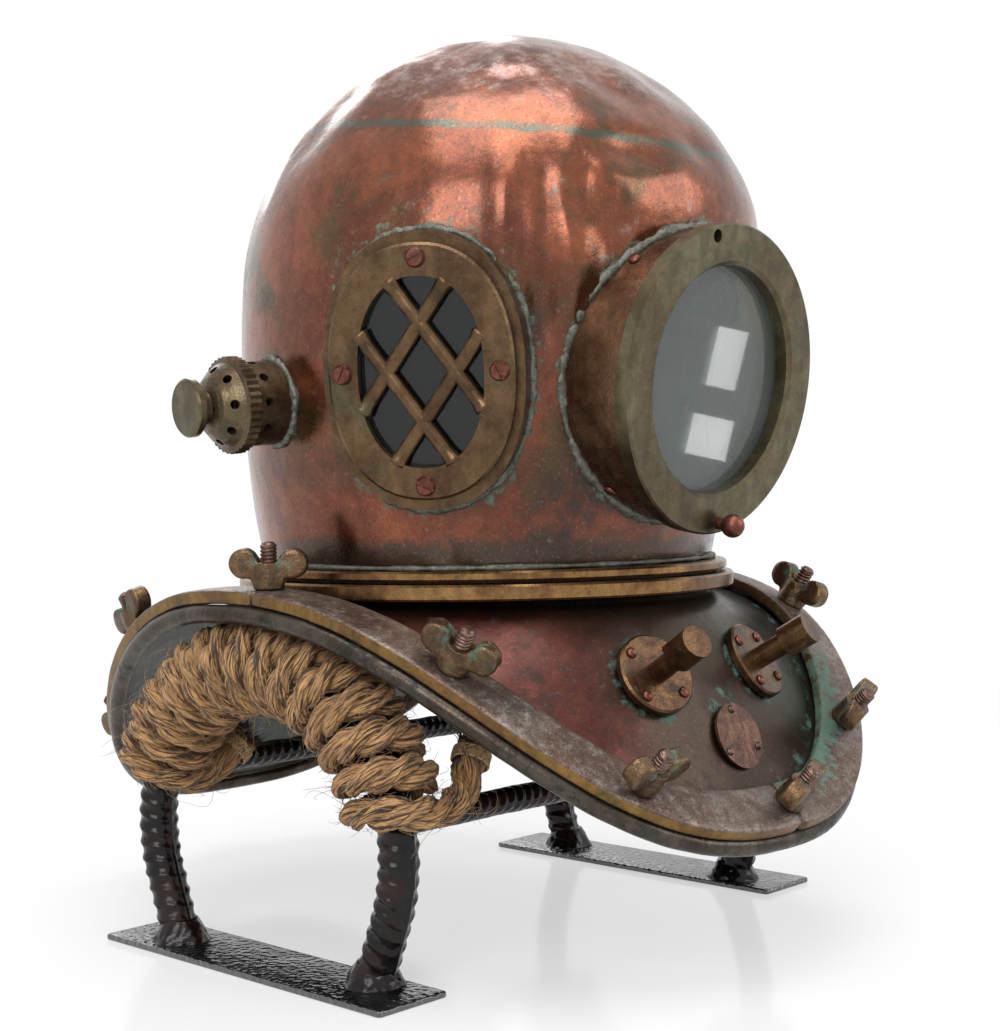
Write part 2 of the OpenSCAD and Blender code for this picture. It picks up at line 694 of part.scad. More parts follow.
// The sheet's face, depth below its outer face, from the neck down to the flange
function sheet_line(a, depth) = let (
    f = rim_frame(a),
    r = neck_dir(a),
    s = neck_slope_at(a),
    start = [0, neck_y, neck_z - neck_wall_h] + r * neck_r,
    away = r * sin(s) + [0, 0, cos(s)],
    heel = f[0] - f[1] * (brail_w / 2 + 1) + f[3] * sheet_top,
    span = norm(heel - start),
    lean = (1 - sin(s)) / cos(s))
    [for (i = [0:bez_steps]) bezier(
        start - (r + [0, 0, lean]) * depth,
        start + (r * cos(s) - [0, 0, sin(s)]) * mix(neck_pull, neck_pull_side, pow(sin(a), 2)) * span - away * depth,
        heel - f[1] * heel_pull * span - f[3] * depth,
        heel - f[3] * depth, i / bez_steps)];
function edge_dy(up) = sqrt(edge_r * edge_r - pow(up - edge_up, 2));
edge_from = 90 + acos((sheet_top - edge_up) / edge_r);
edge_to = 90 + acos((sheet_top - sheet_t - edge_up) / edge_r) - 360;
function shell_section(a) = let (top = [0, neck_y, neck_z], r = neck_dir(a)) concat(
    [top + r * neck_r],
    sheet_line(a, 0),
    [at_rim(a, edge_across - edge_dy(sheet_top), sheet_top)],
    [for (i = [1:8]) let (b = mix(edge_from, edge_to, i / 9))
        at_rim(a, edge_across + edge_r * cos(b), edge_up + edge_r * sin(b))],
    [at_rim(a, edge_across - edge_dy(sheet_top - sheet_t), sheet_top - sheet_t)],
    let (inner = sheet_line(a, sheet_t)) [for (i = [bez_steps:-1:0]) inner[i]],
    [top + r * (neck_r - sheet_t)]);

module corselet_shell() {
    color("#6f3d33") loft([for (i = [0:71]) shell_section(i * 5)], closed = true);
}

lug_up = 0.6;
module lugs(r_in, r_out, z, h) {
    for (k = [0:3]) rotate([0, 0, 90 * k + 45 - lug_angle / 2])
        rotate_extrude(angle = lug_angle, $fn = 96) translate([r_in, z]) square([r_out - r_in, h]);
}
spigot_r = spigot_bore + spigot_wall;
ring_bore = spigot_r + lug_h + 0.4;
module corselet_neck_ring() {
    color("#a07c3a") translate([0, neck_y, 0]) {
        rotate_extrude($fn = 128) polygon([[ring_bore, neck_z], [ring_r - 1, neck_z],
            [ring_r, neck_z + 1], [ring_r, neck_z + ring_t - 1], [ring_r - 1, neck_z + ring_t],
            [ring_bore, neck_z + ring_t]]);
        lugs(spigot_r + 0.4, ring_bore + 1, neck_z + lug_up, lug_t);
    }
}
module neck_washer() {
    color("#4b3524") translate([0, neck_y, neck_z + ring_t + rest_gap]) difference() {
        cylinder(r = neck_r + 4, h = washer_t, $fn = 128);
        translate([0, 0, -past]) cylinder(r = ring_bore, h = washer_t + 2 * past, $fn = 128);
    }
}

// A brail from angle a to angle b, with half a stud hole at each end
brail_steps = 22;
stud_hole_r = stud_d / 2 + rest_gap;
function brail_ring(a, trim) = [for (q = [[-brail_w / 2, -brail_t], [brail_w / 2, -brail_t],
        [brail_w / 2, -brail_bevel], [brail_w / 2 - brail_bevel, 0],
        [brail_bevel - brail_w / 2, 0], [-brail_w / 2, -brail_bevel]])
    at_rim(a, q[0], q[1]) + rim_frame(a)[2] * trim];
module brail(a, b) {
    color("#9a6d45") difference() {
        loft([for (i = [0:brail_steps]) brail_ring(mix(a, b, i / brail_steps),
            i == 0 ? brail_end_gap / 2 : i == brail_steps ? -brail_end_gap / 2 : 0)]);
        for (s = stud_angles) if (s >= a - 1 && s <= b + 1 || s - 360 >= a - 1 && s - 360 <= b + 1)
            on_rim(s) translate([0, 0, -brail_t - past]) cylinder(r = stud_hole_r, h = brail_t + 2 * past, $fn = 32);
    }
}

module brail_studs() {
    color("#7a5a45") for (a = stud_angles) on_rim(a) {
        translate([0, 0, sheet_top + rest_gap])
            cylinder(d = stud_collar_d, h = collar_gap - 3 * rest_gap, $fn = 48);
        translate([0, 0, sheet_top + rest_gap]) cylinder(d = stud_d, h = stud_tip - sheet_top - rest_gap - 1.5, $fn = 32);
        translate([0, 0, stud_tip - 1.5]) cylinder(d1 = stud_d, d2 = stud_d - 2.4, h = 1.5, $fn = 32);
    }
}

// Wing nuts

module wing_nut(i) {
    color("#6d5a3a") on_rim(stud_angles[i]) rotate([0, 0, 90 + nut_turns[i]]) translate([0, 0, rest_gap])
        difference() {
            union() {
                cylinder(d1 = nut_hub_d, d2 = nut_hub_d - 2, h = nut_hub_h, $fn = 48);
                for (s = [-1, 1]) {
                    translate([s * (wing_reach - wing_r), wing_t / 2, wing_rise]) rotate([90, 0, 0])
                        cylinder(r = wing_r, h = wing_t, $fn = 48);
                    translate([s > 0 ? 0 : -(wing_reach - wing_r), -wing_t / 2, 2])
                        cube([wing_reach - wing_r, wing_t, nut_hub_h - 2]);
                }
            }
            translate([0, 0, -past]) cylinder(r = stud_d / 2 + pin_gap, h = 3 * nut_hub_h, $fn = 32);
        }
}

// Breast fittings

weight_z = shoulder_h - weight_drop;
module on_weight(side) {
    translate([side * weight_x, -weight_y, weight_z]) rotate([0, 0, side * weight_splay])
        rotate([90 - weight_slant, 0, 0]) children();
}
flange_rivet_pcr = weight_flange_d / 2 - flange_rivet_d / 2 - 2;
module weight_stud(side) {
    color("#8a6a42") on_weight(side) difference() {
        union() {
            cylinder(d = weight_flange_d, h = weight_flange_t - 1, $fn = 64);
            translate([0, 0, weight_flange_t - 1])
                cylinder(d1 = weight_flange_d, d2 = weight_flange_d - 2, h = 1, $fn = 64);
            translate([0, 0, weight_flange_t]) cylinder(d = weight_shank_d, h = weight_shank_h, $fn = 48);
            translate([0, 0, weight_flange_t + weight_shank_h])
                cylinder(d = weight_head_d, h = weight_head_h, $fn = 48);
        }
        for (k = [0:3]) rotate([0, 0, 90 * k + 45]) translate([flange_rivet_pcr, 0, -past])
            cylinder(d = flange_rivet_d / 2 + 2 * pin_gap, h = weight_flange_t + 2 * past, $fn = 24);
    }
}
module weight_stud_rivets() {
    color("#9c3b30") for (side = [-1, 1]) on_weight(side)
        for (k = [0:3]) rotate([0, 0, 90 * k + 45]) translate([flange_rivet_pcr, 0, 0]) {
            cylinder(d = flange_rivet_d / 2, h = weight_flange_t + rest_gap, $fn = 24);
            translate([0, 0, weight_flange_t + rest_gap])
                cylinder(d1 = flange_rivet_d, d2 = flange_rivet_d / 2, h = 1.6, $fn = 24);
        }
}
module on_badge() {
    translate([0, -badge_y, shoulder_h - badge_drop]) rotate([90 - badge_slant, 0, 0]) children();
}
badge_screw_pcr = badge_d / 2 - badge_screw_d / 2 - 1;
badge_screws_n = 3;
module badge_plate() {
    color("#8f7448") on_badge() difference() {
        cylinder(d = badge_d, h = badge_t, $fn = 64);
        for (k = [0:badge_screws_n - 1]) rotate([0, 0, 90 + 120 * k]) translate([badge_screw_pcr, 0, -past])
            cylinder(d = badge_screw_d / 2 + 2 * pin_gap, h = badge_t + 2 * past, $fn = 24);
    }
}
module badge_screws() {
    color("#6f5a3a") on_badge() for (k = [0:badge_screws_n - 1]) rotate([0, 0, 90 + 120 * k])
        translate([badge_screw_pcr, 0, 0]) {
            cylinder(d = badge_screw_d / 2, h = badge_t + rest_gap, $fn = 24);
            translate([0, 0, badge_t + rest_gap])
                cylinder(d1 = badge_screw_d, d2 = badge_screw_d - 1.4, h = 1.2, $fn = 24);
        }
}

// The bonnet

function oval(a, b, n = 60) = [for (i = [0:n - 1]) let (t = 360 * i / n)
    [a * sgn_pow(cos(t), 2 / oval_power), b * sgn_pow(sin(t), 2 / oval_power)]];
module oval_prism(a, b, z, h) {
    translate([0, 0, z]) linear_extrude(h) polygon(oval(a, b));
}

module bonnet_shell() {
    color("#a1593a") difference() {
        bonnet_core(0);
        bonnet_core(shell_t);
        translate([-2 * belly_r, neck_y - 2 * belly_r, bonnet_z - 4 * belly_r])
            cube([4 * belly_r, 4 * belly_r, 4 * belly_r]);
        on_front() translate([0, 0, port_start]) cylinder(r = tube_r + rest_gap, h = belly_r, $fn = 96);
        for (side = [-1, 1]) on_side(side)
            oval_prism(seat_a + rest_gap, seat_b + rest_gap, port_start, belly_r);
        on_valve() translate([0, 0, port_start]) cylinder(r = valve_r + rest_gap, h = belly_r, $fn = 64);
        on_inlet() translate([0, 0, port_start]) cylinder(r = inlet_r + rest_gap, h = belly_r, $fn = 48);
    }
}

module bonnet_neck_ring() {
    color("#9c7a3c") translate([0, neck_y, 0]) {
        rotate_extrude($fn = 128) polygon([[spigot_bore, bonnet_ring_z - spigot_h],
            [spigot_r, bonnet_ring_z - spigot_h], [spigot_r, bonnet_ring_z],
            [bonnet_ring_r - 1, bonnet_ring_z], [bonnet_ring_r, bonnet_ring_z + 1],
            [bonnet_ring_r, bonnet_z - 1], [bonnet_ring_r - 1, bonnet_z], [spigot_bore, bonnet_z]]);
        // The lugs lie under those of the corselet's ring and turn clear of them by an eighth of a turn.
        lugs(spigot_r - 1, spigot_r + lug_h, neck_z + lug_up - rest_gap - lug_t, lug_t);
    }
}

tube_step = tube_face - tube_mouth_h;
rivet_near = tube_face - 15.9;
rivet_far = tube_face - 19.4;
rivet_places = [[rivet_near, 133], [rivet_far, 232], [rivet_near, 47], [rivet_far, -52]];
rivet_shank = 1.5;
module tube_rivet_at(q) {
    rotate([0, 0, q[1]]) translate([0, 0, q[0]]) rotate([0, 90, 0]) children();
}
module front_tube() {
    color("#a3834a") difference() {
        on_front() rotate_extrude($fn = 128) polygon([[tube_bore_r, port_start], [tube_r, port_start],
            [tube_r, tube_face], [tube_mouth_r, tube_face], [tube_mouth_r, tube_step],
            [tube_bore_r, tube_step]]);
        bonnet_core();
        on_front() for (q = rivet_places) tube_rivet_at(q)
            translate([0, 0, tube_r - 5]) cylinder(r = rivet_shank + pin_gap, h = 5 + past, $fn = 24);
    }
}
module tube_rivets() {
    color("#8d6c3c") on_front() for (q = rivet_places) tube_rivet_at(q) {
        translate([0, 0, tube_r - 5 + rest_gap]) cylinder(r = rivet_shank, h = 5, $fn = 24);
        translate([0, 0, tube_r + rest_gap]) cylinder(d1 = tube_rivet_d, d2 = tube_rivet_d / 2, h = 1.6, $fn = 32);
    }
}

glass_front = tube_face;
thread_r = tube_mouth_r - rest_gap;
glass_r = thread_r - front_thread_t - rest_gap;
ring_back = tube_face + rest_gap;
glass_back = glass_front - front_glass_t;
module front_gasket() {
    color("#2b2b2b") on_front() translate([0, 0, tube_step + rest_gap]) difference() {
        cylinder(r = glass_r, h = glass_back - tube_step - 2 * rest_gap, $fn = 96);
        translate([0, 0, -past]) cylinder(r = tube_bore_r + rest_gap, h = tube_mouth_h, $fn = 96);
    }
}
module front_glass() {
    color("#9fb3a5", 0.5) on_front() translate([0, 0, glass_back])
        cylinder(r = glass_r, h = front_glass_t, $fn = 128);
}
knob_hole_r = front_stem_d / 2 + pin_gap;
knob_hole_h = 6;
module front_ring() {
    face = ring_back + front_ring_t;
    color("#a98b4c") on_front() difference() {
        rotate_extrude($fn = 128) polygon([[thread_r - front_thread_t, tube_step + rest_gap],
            [thread_r, tube_step + rest_gap], [thread_r, ring_back], [front_ring_r, ring_back],
            [front_ring_r, face - 1], [front_ring_r - 1, face], [front_open_r + 2, face],
            [front_open_r, face - 2], [front_open_r, ring_back],
            [thread_r - front_thread_t, ring_back]]);
        for (a = [front_knob_angle, front_hole_angle]) rotate([0, 0, a])
            translate([front_knob_pcr, 0, face - knob_hole_h])
                cylinder(r = knob_hole_r, h = knob_hole_h + past, $fn = 32);
    }
}
module front_knob() {
    face = ring_back + front_ring_t;
    color("#b0955a") on_front() rotate([0, 0, front_knob_angle]) translate([front_knob_pcr, 0, 0]) {
        translate([0, 0, face - knob_hole_h + rest_gap])
            cylinder(d = front_stem_d, h = knob_hole_h + front_knob_d / 2, $fn = 32);
        translate([0, 0, face + 2 + front_knob_d / 2]) sphere(d = front_knob_d, $fn = 48);
    }
}

rebate_gap = 0.4;
rebate_h = side_glass_t + rest_gap + 0.7;
frame_back = seat_face + rest_gap;
frame_screw_x = (frame_a + frame_open_a) / 2 + 0.1;
frame_screw_y = (frame_b + frame_open_b) / 2 + 0.7;
frame_screws = [[frame_screw_x, 0], [0, frame_screw_y], [-frame_screw_x, 0], [0, -frame_screw_y]];
module side_seat(side) {
    color("#7a6a48") difference() {
        on_side(side) oval_prism(seat_a, seat_b, port_start, seat_face - port_start);
        bonnet_core();
        on_side(side) {
            oval_prism(seat_open_a, seat_open_b, port_start - past, seat_face);
            oval_prism(side_glass_a + rebate_gap, side_glass_b + rebate_gap, seat_face - rebate_h, rebate_h + past);
            for (q = frame_screws) translate([q[0], q[1], seat_face - screw_len])
                cylinder(r = screw_d / 2 + pin_gap, h = screw_len + past, $fn = 24);
        }
    }
}
module side_glass(side) {
    color("#9fb3a5", 0.5) on_side(side)
        oval_prism(side_glass_a, side_glass_b, seat_face - side_glass_t - 0.4, side_glass_t);
}
module side_frame(side) {
    face = frame_back + frame_t;
    color("#a98b4c") on_side(side) difference() {
        union() {
            difference() {
                hull() {
                    oval_prism(frame_a, frame_b, frame_back, frame_t - frame_bevel);
                    oval_prism(frame_a - frame_bevel, frame_b - frame_bevel, frame_back, frame_t);
                }
                oval_prism(frame_open_a, frame_open_b, frame_back - past, frame_t + 2 * past);
            }
            intersection() {
                oval_prism(frame_open_a + 2, frame_open_b + 2, frame_back + 0.8, guard_t);
                union() for (a = [-guard_angle, guard_angle]) for (s = [-1, 1])
                    rotate([0, 0, a]) translate([-2 * frame_b, s * guard_off - guard_w / 2, frame_back])
                        cube([4 * frame_b, guard_w, 2 * guard_t]);
            }
        }
        for (q = frame_screws) translate([q[0], q[1], frame_back - past])
            cylinder(r = screw_d / 2 + pin_gap, h = frame_t + 2 * past, $fn = 24);
    }
}
module frame_screw() {
    difference() {
        union() {
            translate([0, 0, -screw_len]) cylinder(d = screw_d, h = screw_len, $fn = 24);
            cylinder(d1 = screw_head_d, d2 = screw_head_d - 2, h = screw_head_h, $fn = 40);
        }
        translate([-screw_head_d, -0.7, screw_head_h - 1]) cube([2 * screw_head_d, 1.4, 2]);
    }
}
module side_frame_screws() {
    face = frame_back + frame_t + rest_gap;
    color("#93793f") for (side = [-1, 1]) on_side(side) for (q = frame_screws)
        translate([q[0], q[1], face]) rotate([0, 0, 23 * q[0] + 11 * q[1]]) frame_screw();
}

// The exhaust valve

valve_in = valve_r - valve_wall;
valve_floor = valve_face - 14;
valve_floor_t = 3;
disc_z = valve_floor + valve_floor_t + rest_gap;
disc_t = 2.5;
cap_z = valve_face + rest_gap;
dome_z = cap_z + cap_rim_h;
cap_top = dome_z + cap_dome_h;
cap_end = cap_top + cap_neck_h;
cap_t = 2.5;
valve_bore = valve_stem_d / 2 + rest_gap;
knob_grip = valve_knob_t - 1.5;
module exhaust_body() {
    color("#9d7d40") difference() {
        on_valve() difference() {
            translate([0, 0, port_start]) cylinder(r = valve_r, h = valve_face - port_start, $fn = 64);
            translate([0, 0, valve_floor + valve_floor_t])
                cylinder(r = valve_in, h = valve_face, $fn = 64);
            translate([0, 0, port_start - past]) cylinder(r = valve_in, h = valve_floor - port_start + past, $fn = 64);
            translate([0, 0, port_start - past]) cylinder(r = valve_seat_r, h = valve_face, $fn = 48);
            for (k = [0:base_vents - 1]) rotate([0, 0, 360 * k / base_vents])
                translate([valve_in - 2, 0, valve_face - 5.5]) rotate([0, 90, 0])
                    cylinder(d = vent_d, h = valve_wall + 4, $fn = 24);
        }
        bonnet_core();
    }
}
module exhaust_cap() {
    teeth = 40;
    color("#a4854a") on_valve() difference() {
        union() {
            rotate_extrude($fn = 96) polygon([[0, cap_z - 2], [valve_in - rest_gap, cap_z - 2],
                [valve_in - rest_gap, cap_z], [cap_rim_r - 1, cap_z], [cap_rim_r - 1, dome_z],
                [cap_rim_r - 3, dome_z + 1], [cap_rim_r - 5.5, dome_z + 0.45 * cap_dome_h],
                [cap_top_r + 2.5, dome_z + 0.85 * cap_dome_h], [cap_top_r, cap_top],
                [cap_neck_r, cap_top + 1.5], [cap_neck_r, cap_end], [0, cap_end]]);
            translate([0, 0, cap_z]) linear_extrude(cap_rim_h) polygon([for (i = [0:2 * teeth - 1])
                let (r = cap_rim_r - (i % 2 == 0 ? 0 : 0.9)) [r * cos(180 * i / teeth), r * sin(180 * i / teeth)]]);
        }
        rotate_extrude($fn = 96) polygon([[0, cap_z - 3], [valve_in - rest_gap - cap_t, cap_z - 3],
            [valve_in - rest_gap - cap_t, dome_z + 1], [cap_rim_r - 5.5 - cap_t, dome_z + 0.45 * cap_dome_h],
            [cap_top_r, dome_z + 0.8 * cap_dome_h], [valve_bore, dome_z + 0.8 * cap_dome_h],
            [valve_bore, cap_end + past], [0, cap_end + past]]);
        for (k = [0:cap_vents - 1]) rotate([0, 0, 360 * k / cap_vents])
            translate([cap_rim_r - 6, 0, dome_z + 0.5 * cap_dome_h]) rotate([0, 62, 0])
                translate([0, 0, -2 * cap_t]) cylinder(d = vent_d, h = 4 * cap_t, $fn = 24);
    }
}
module exhaust_stem() {
    color("#8b7a55") on_valve() {
        translate([0, 0, disc_z]) cylinder(r = valve_disc_r, h = disc_t, $fn = 64);
        translate([0, 0, valve_floor - 12])
            cylinder(d = valve_stem_d, h = cap_end + knob_grip - valve_floor + 12, $fn = 32);
        translate([0, 0, valve_floor - 14]) cylinder(r = valve_stem_d / 2 + 3, h = 3, $fn = 32);
    }
}
module exhaust_knob() {
    z = cap_end + rest_gap;
    color("#a98b4c") on_valve() difference() {
        rotate_extrude($fn = 96) polygon([[0, z], [valve_knob_d / 2 - 1, z], [valve_knob_d / 2, z + 1],
            [valve_knob_d / 2, z + valve_knob_t - 1], [valve_knob_d / 2 - 1, z + valve_knob_t],
            [0, z + valve_knob_t]]);
        translate([0, 0, z - past]) cylinder(r = valve_stem_d / 2 + pin_gap, h = knob_grip + past, $fn = 32);
    }
}
// A coil of round wire between two heights, with flat even turns
function coil(r, wire, z0, z1, turns, steps) = [for (i = [0:turns * steps]) let (a = 360 * i / steps,
        z = mix(z0 + wire / 2, z1 - wire / 2, i / (turns * steps)))
    [for (j = [0:5]) [(r + wire / 2 * cos(60 * j)) * cos(a), (r + wire / 2 * cos(60 * j)) * sin(a),
        z + wire / 2 * sin(60 * j)]]];
module exhaust_spring() {
    color("#8f8f8a") on_valve()
        loft(coil(6.5, 1.2, disc_z + disc_t + rest_gap, dome_z + 0.8 * cap_dome_h - rest_gap, 5, 10));
}

// The air inlet

inlet_chamber_r = inlet_r - 1.6;
inlet_seat = inlet_face - 8;
inlet_disc_t = 2;
inlet_spring = 9;
retainer_t = 2;
inlet_foot = belly_r - 2.5;
retainer_z = inlet_seat - rest_gap - inlet_disc_t - inlet_spring - 2 * rest_gap - retainer_t;
// The spigot is screwed into the bend, and its bore is the narrower
hose_bore_r = inlet_bore_r - 1;
hose_sink = 1.5;
// A round pipe between two heights of the inlet's axis
module pipe(r_out, r_in, z0, z1) {
    rotate_extrude($fn = 64) polygon([[r_in, z0], [r_out, z0], [r_out, z1], [r_in, z1]]);
}
module air_elbow() {
    color("#927440") {
        // The foot flange is shaped to the bonnet, and the pipe passes through the wall behind it.
        difference() {
            on_inlet() pipe(inlet_flange_r, inlet_r, port_start, inlet_foot);
            bonnet_core(-rest_gap);
        }
        difference() {
            on_inlet() pipe(inlet_r, inlet_chamber_r, port_start, inlet_seat);
            bonnet_core();
        }
        on_inlet() pipe(inlet_r, inlet_bore_r, inlet_seat, inlet_face);
        on_inlet() translate([0, -inlet_bend_r, inlet_face]) {
            rotate([0, 0, 90]) rotate([90, 0, 0]) rotate_extrude(angle = inlet_bend, $fn = 64)
                translate([inlet_bend_r, 0]) difference() {
                    circle(r = inlet_r, $fn = 48);
                    circle(r = inlet_bore_r, $fn = 48);
                }
            rotate([inlet_bend, 0, 0]) translate([0, inlet_bend_r, 0]) pipe(hose_r, hose_bore_r, -hose_sink, hose_len);
        }
    }
}
inlet_disc_r = inlet_chamber_r - 0.6;
module air_valve_disc() {
    color("#3a3a38") on_inlet() translate([0, 0, inlet_seat - rest_gap - inlet_disc_t])
        cylinder(r = inlet_disc_r, h = inlet_disc_t, $fn = 48);
}
module air_valve_spring() {
    z1 = inlet_seat - 2 * rest_gap - inlet_disc_t;
    color("#8f8f8a") on_inlet() loft(coil(6.5, 1, retainer_z + retainer_t + rest_gap, z1, 4, 10));
}
module air_valve_retainer() {
    color("#8b7a55") on_inlet() translate([0, 0, retainer_z]) difference() {
        cylinder(r = inlet_chamber_r - rest_gap, h = retainer_t, $fn = 48);
        for (k = [0:5]) rotate([0, 0, 60 * k]) translate([5.2, 0, -past])
            cylinder(r = 1.8, h = retainer_t + 2 * past, $fn = 24);
    }
}

foot_plates();
stand_arch(-1);  // stand_arch_right
stand_arch(1);  // stand_arch_left
stand_crossbars();
rope_winding(-1);  // rope_winding_right
rope_winding(1);  // rope_winding_left
rope_whippings();
corselet_shell();
corselet_neck_ring();
neck_washer();
brail(-stud_angle_3, 0);  // brail_front_right
brail(0, stud_angle_3);  // brail_front_left
brail(-180, -stud_angle_3);  // brail_rear_right
brail(stud_angle_3, 180);  // brail_rear_left
brail_studs();
for (i = [1:len(stud_angles)]) wing_nut(i - 1);
weight_stud(-1);  // weight_stud_right
weight_stud(1);  // weight_stud_left
weight_stud_rivets();
badge_plate();
badge_screws();
bonnet_shell();
bonnet_neck_ring();
front_tube();
tube_rivets();
side_seat(1);  // side_seat_right
side_seat(-1);  // side_seat_left
side_frame(1);  // side_frame_right
side_frame(-1);  // side_frame_left
side_glass(1);  // side_glass_right
side_glass(-1);  // side_glass_left
side_frame_screws();
exhaust_body();
exhaust_spring();
exhaust_cap();
exhaust_stem();
exhaust_knob();
air_elbow();
air_valve_retainer();
air_valve_spring();
air_valve_disc();
front_gasket();
front_glass();
front_ring();
front_knob();
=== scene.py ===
"""A copper and brass diving helmet on a rope-wound stand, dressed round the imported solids.

Shapes are worked out in millimetres, in the frame of the solids, and written to meshes in metres.
"""

import logging
from collections.abc import Callable, Sequence
from dataclasses import dataclass, field
from enum import Enum

import bmesh
import bpy
import numpy as np
from mathutils import Matrix, Vector


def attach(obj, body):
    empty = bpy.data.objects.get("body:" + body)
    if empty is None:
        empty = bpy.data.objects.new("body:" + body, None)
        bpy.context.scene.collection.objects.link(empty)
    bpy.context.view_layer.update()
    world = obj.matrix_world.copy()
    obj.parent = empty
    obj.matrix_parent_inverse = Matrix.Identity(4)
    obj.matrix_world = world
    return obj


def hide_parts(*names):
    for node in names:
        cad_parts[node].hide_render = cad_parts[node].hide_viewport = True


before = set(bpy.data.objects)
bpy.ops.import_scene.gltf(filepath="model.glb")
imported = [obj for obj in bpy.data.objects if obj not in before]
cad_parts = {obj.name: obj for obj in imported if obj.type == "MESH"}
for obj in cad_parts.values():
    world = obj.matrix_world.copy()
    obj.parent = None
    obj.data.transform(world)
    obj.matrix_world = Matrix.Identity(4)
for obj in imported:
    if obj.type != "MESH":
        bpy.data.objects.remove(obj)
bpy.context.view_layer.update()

MM = 0.001
REST_GAP = 0.3
BONNET_LEAN = 6.8
UP = np.array([0.0, 0.0, 1.0])
SMOOTH = {"interpolation_type": "SMOOTHSTEP"}
RGBA = {"out": 2, "data_type": "RGBA"}
log = logging.getLogger("helmet")

Array = np.ndarray
Field = Callable[[Array], Array]
Socket = bpy.types.NodeSocket


# Numbers and frames


def unit(vectors: Array) -> Array:
    """Vectors scaled to length one along their last axis."""
    return vectors / np.linalg.norm(vectors, axis=-1, keepdims=True)


def mix(low: Array | float, high: Array | float, share: Array | float) -> Array | float:
    """Straight blend from low to high."""
    return low + (high - low) * share


def ease(share: Array | float) -> Array | float:
    """Cubic ease 3s² - 2s³ of a share held between 0 and 1."""
    held = np.clip(share, 0.0, 1.0)
    return held * held * (3.0 - 2.0 * held)


def signed_power(value: Array, power: float) -> Array:
    """The power of a number's size, with the number's sign."""
    return np.sign(value) * np.abs(value) ** power


def soft_least(first: Array, second: Array, width: float) -> Array:
    """The smaller of two numbers, rounded off over a width where they meet."""
    share = np.clip(0.5 + 0.5 * (second - first) / width, 0.0, 1.0)
    return mix(second, first, share) - width * share * (1.0 - share)


def round_angles(count: int) -> Array:
    """Angles in radians, evenly round a circle."""
    return np.linspace(0.0, 2.0 * np.pi, count, endpoint=False)


def run_length(path: Array) -> Array:
    """Length along a path up to each of its points."""
    return np.concatenate([[0.0], np.cumsum(np.linalg.norm(np.diff(path, axis=0), axis=1))])


def turn(axis: str, degrees: float) -> Array:
    """4 by 4 matrix of a turn about a main axis."""
    return np.array(Matrix.Rotation(np.radians(degrees), 4, axis))


def shift(x: float, y: float, z: float) -> Array:
    """4 by 4 matrix of a move in millimetres."""
    return np.array(Matrix.Translation((x, y, z)))


def carry(matrix: Array, points: Array) -> Array:
    """Points taken through a 4 by 4 matrix."""
    return points @ matrix[:3, :3].T + matrix[:3, 3]


def lattice_noise(points: Array, cell: float, seed: int) -> Array:
    """Smooth noise from -1 to 1: a hashed number at each corner of a cubic lattice, blended by a cubic ease.

    Args:
        points: places in millimetres, in rows or in a grid.
        cell: edge of a lattice cube in millimetres.
        seed: a different whole number gives different noise.

    Returns:
        One value a point, laid out as the points are.
    """
    place = points.reshape(-1, 3) / cell + seed * 17.31
    corner = np.floor(place).astype(np.int64)
    weight = ease(place - corner)
    total = np.zeros(len(place))
    for step in np.ndindex(2, 2, 2):
        key = (corner + step) @ np.array([73856093, 19349663, 83492791]) ^ (seed * 7919)
        key = (key ^ (key >> 13)) * 1274126177 & 0x7FFFFFFF
        value = ((key ^ (key >> 11)) & 0xFFFF) / 32767.5 - 1.0
        total += value * np.prod(np.where(step, weight, 1.0 - weight), axis=1)
    return total.reshape(points.shape[:-1])


# Meshes


def grid_faces(rows: int, columns: int, wrap_rows: bool = False) -> Array:
    """Four-sided faces of a grid of points, numbered row by row, whose columns close on themselves."""
    down = np.arange(rows if wrap_rows else rows - 1)
    r, c = (m.ravel() for m in np.meshgrid(down, np.arange(columns), indexing="ij"))
    s, d = (r + 1) % rows, (c + 1) % columns
    return np.stack([r * columns + c, s * columns + c, s * columns + d, r * columns + d], 1)


def make_mesh(name: str, points: Array, faces: Sequence, finishes: Sequence, kinds: Array | None = None,
              uv: Array | None = None, patina_and_painted_light: Array | None = None) -> bpy.types.Object:
    """Writes a surface into a new object at the origin, with its faces turned outwards.

    Args:
        name: name of the piece.
        points: places in millimetres, one a row.
        faces: corners of each face.
        finishes: the piece's finishes, in slot order.
        kinds: slot number of each face, or None for all zero.
        uv: place on the pattern of each point, or None.
        patina_and_painted_light: how dark, green and pale each point is, or None; the dark is partly painted
            shade and the pale partly a painted highlight.

    Returns:
        The new object.
    """
    mesh = bpy.data.meshes.new(name)
    mesh.from_pydata((points * MM).tolist(), [], [list(map(int, face)) for face in faces])
    if kinds is not None:
        mesh.polygons.foreach_set("material_index", np.asarray(kinds).astype(np.int32))
    if uv is not None:
        layer = mesh.uv_layers.new(name="surface")
        corner = np.empty(len(mesh.loops), dtype=np.int32)
        mesh.loops.foreach_get("vertex_index", corner)
        layer.data.foreach_set("uv", uv[corner].astype(np.float32).ravel())
    work = bmesh.new()
    work.from_mesh(mesh)
    bmesh.ops.recalc_face_normals(work, faces=work.faces)
    work.to_mesh(mesh)
    work.free()
    mesh.polygons.foreach_set("use_smooth", np.ones(len(mesh.polygons), dtype=bool))
    for finish in finishes:
        mesh.materials.append(finish.made())
    if patina_and_painted_light is not None:
        layer = mesh.attributes.new("patina_and_painted_light", "FLOAT_COLOR", "POINT")
        colour = np.column_stack([np.clip(patina_and_painted_light, 0, 1), np.ones(len(points))])
        layer.data.foreach_set("color", colour.astype(np.float32).ravel())
    mesh.validate()
    piece = bpy.data.objects.new(name, mesh)
    bpy.context.scene.collection.objects.link(piece)
    return piece


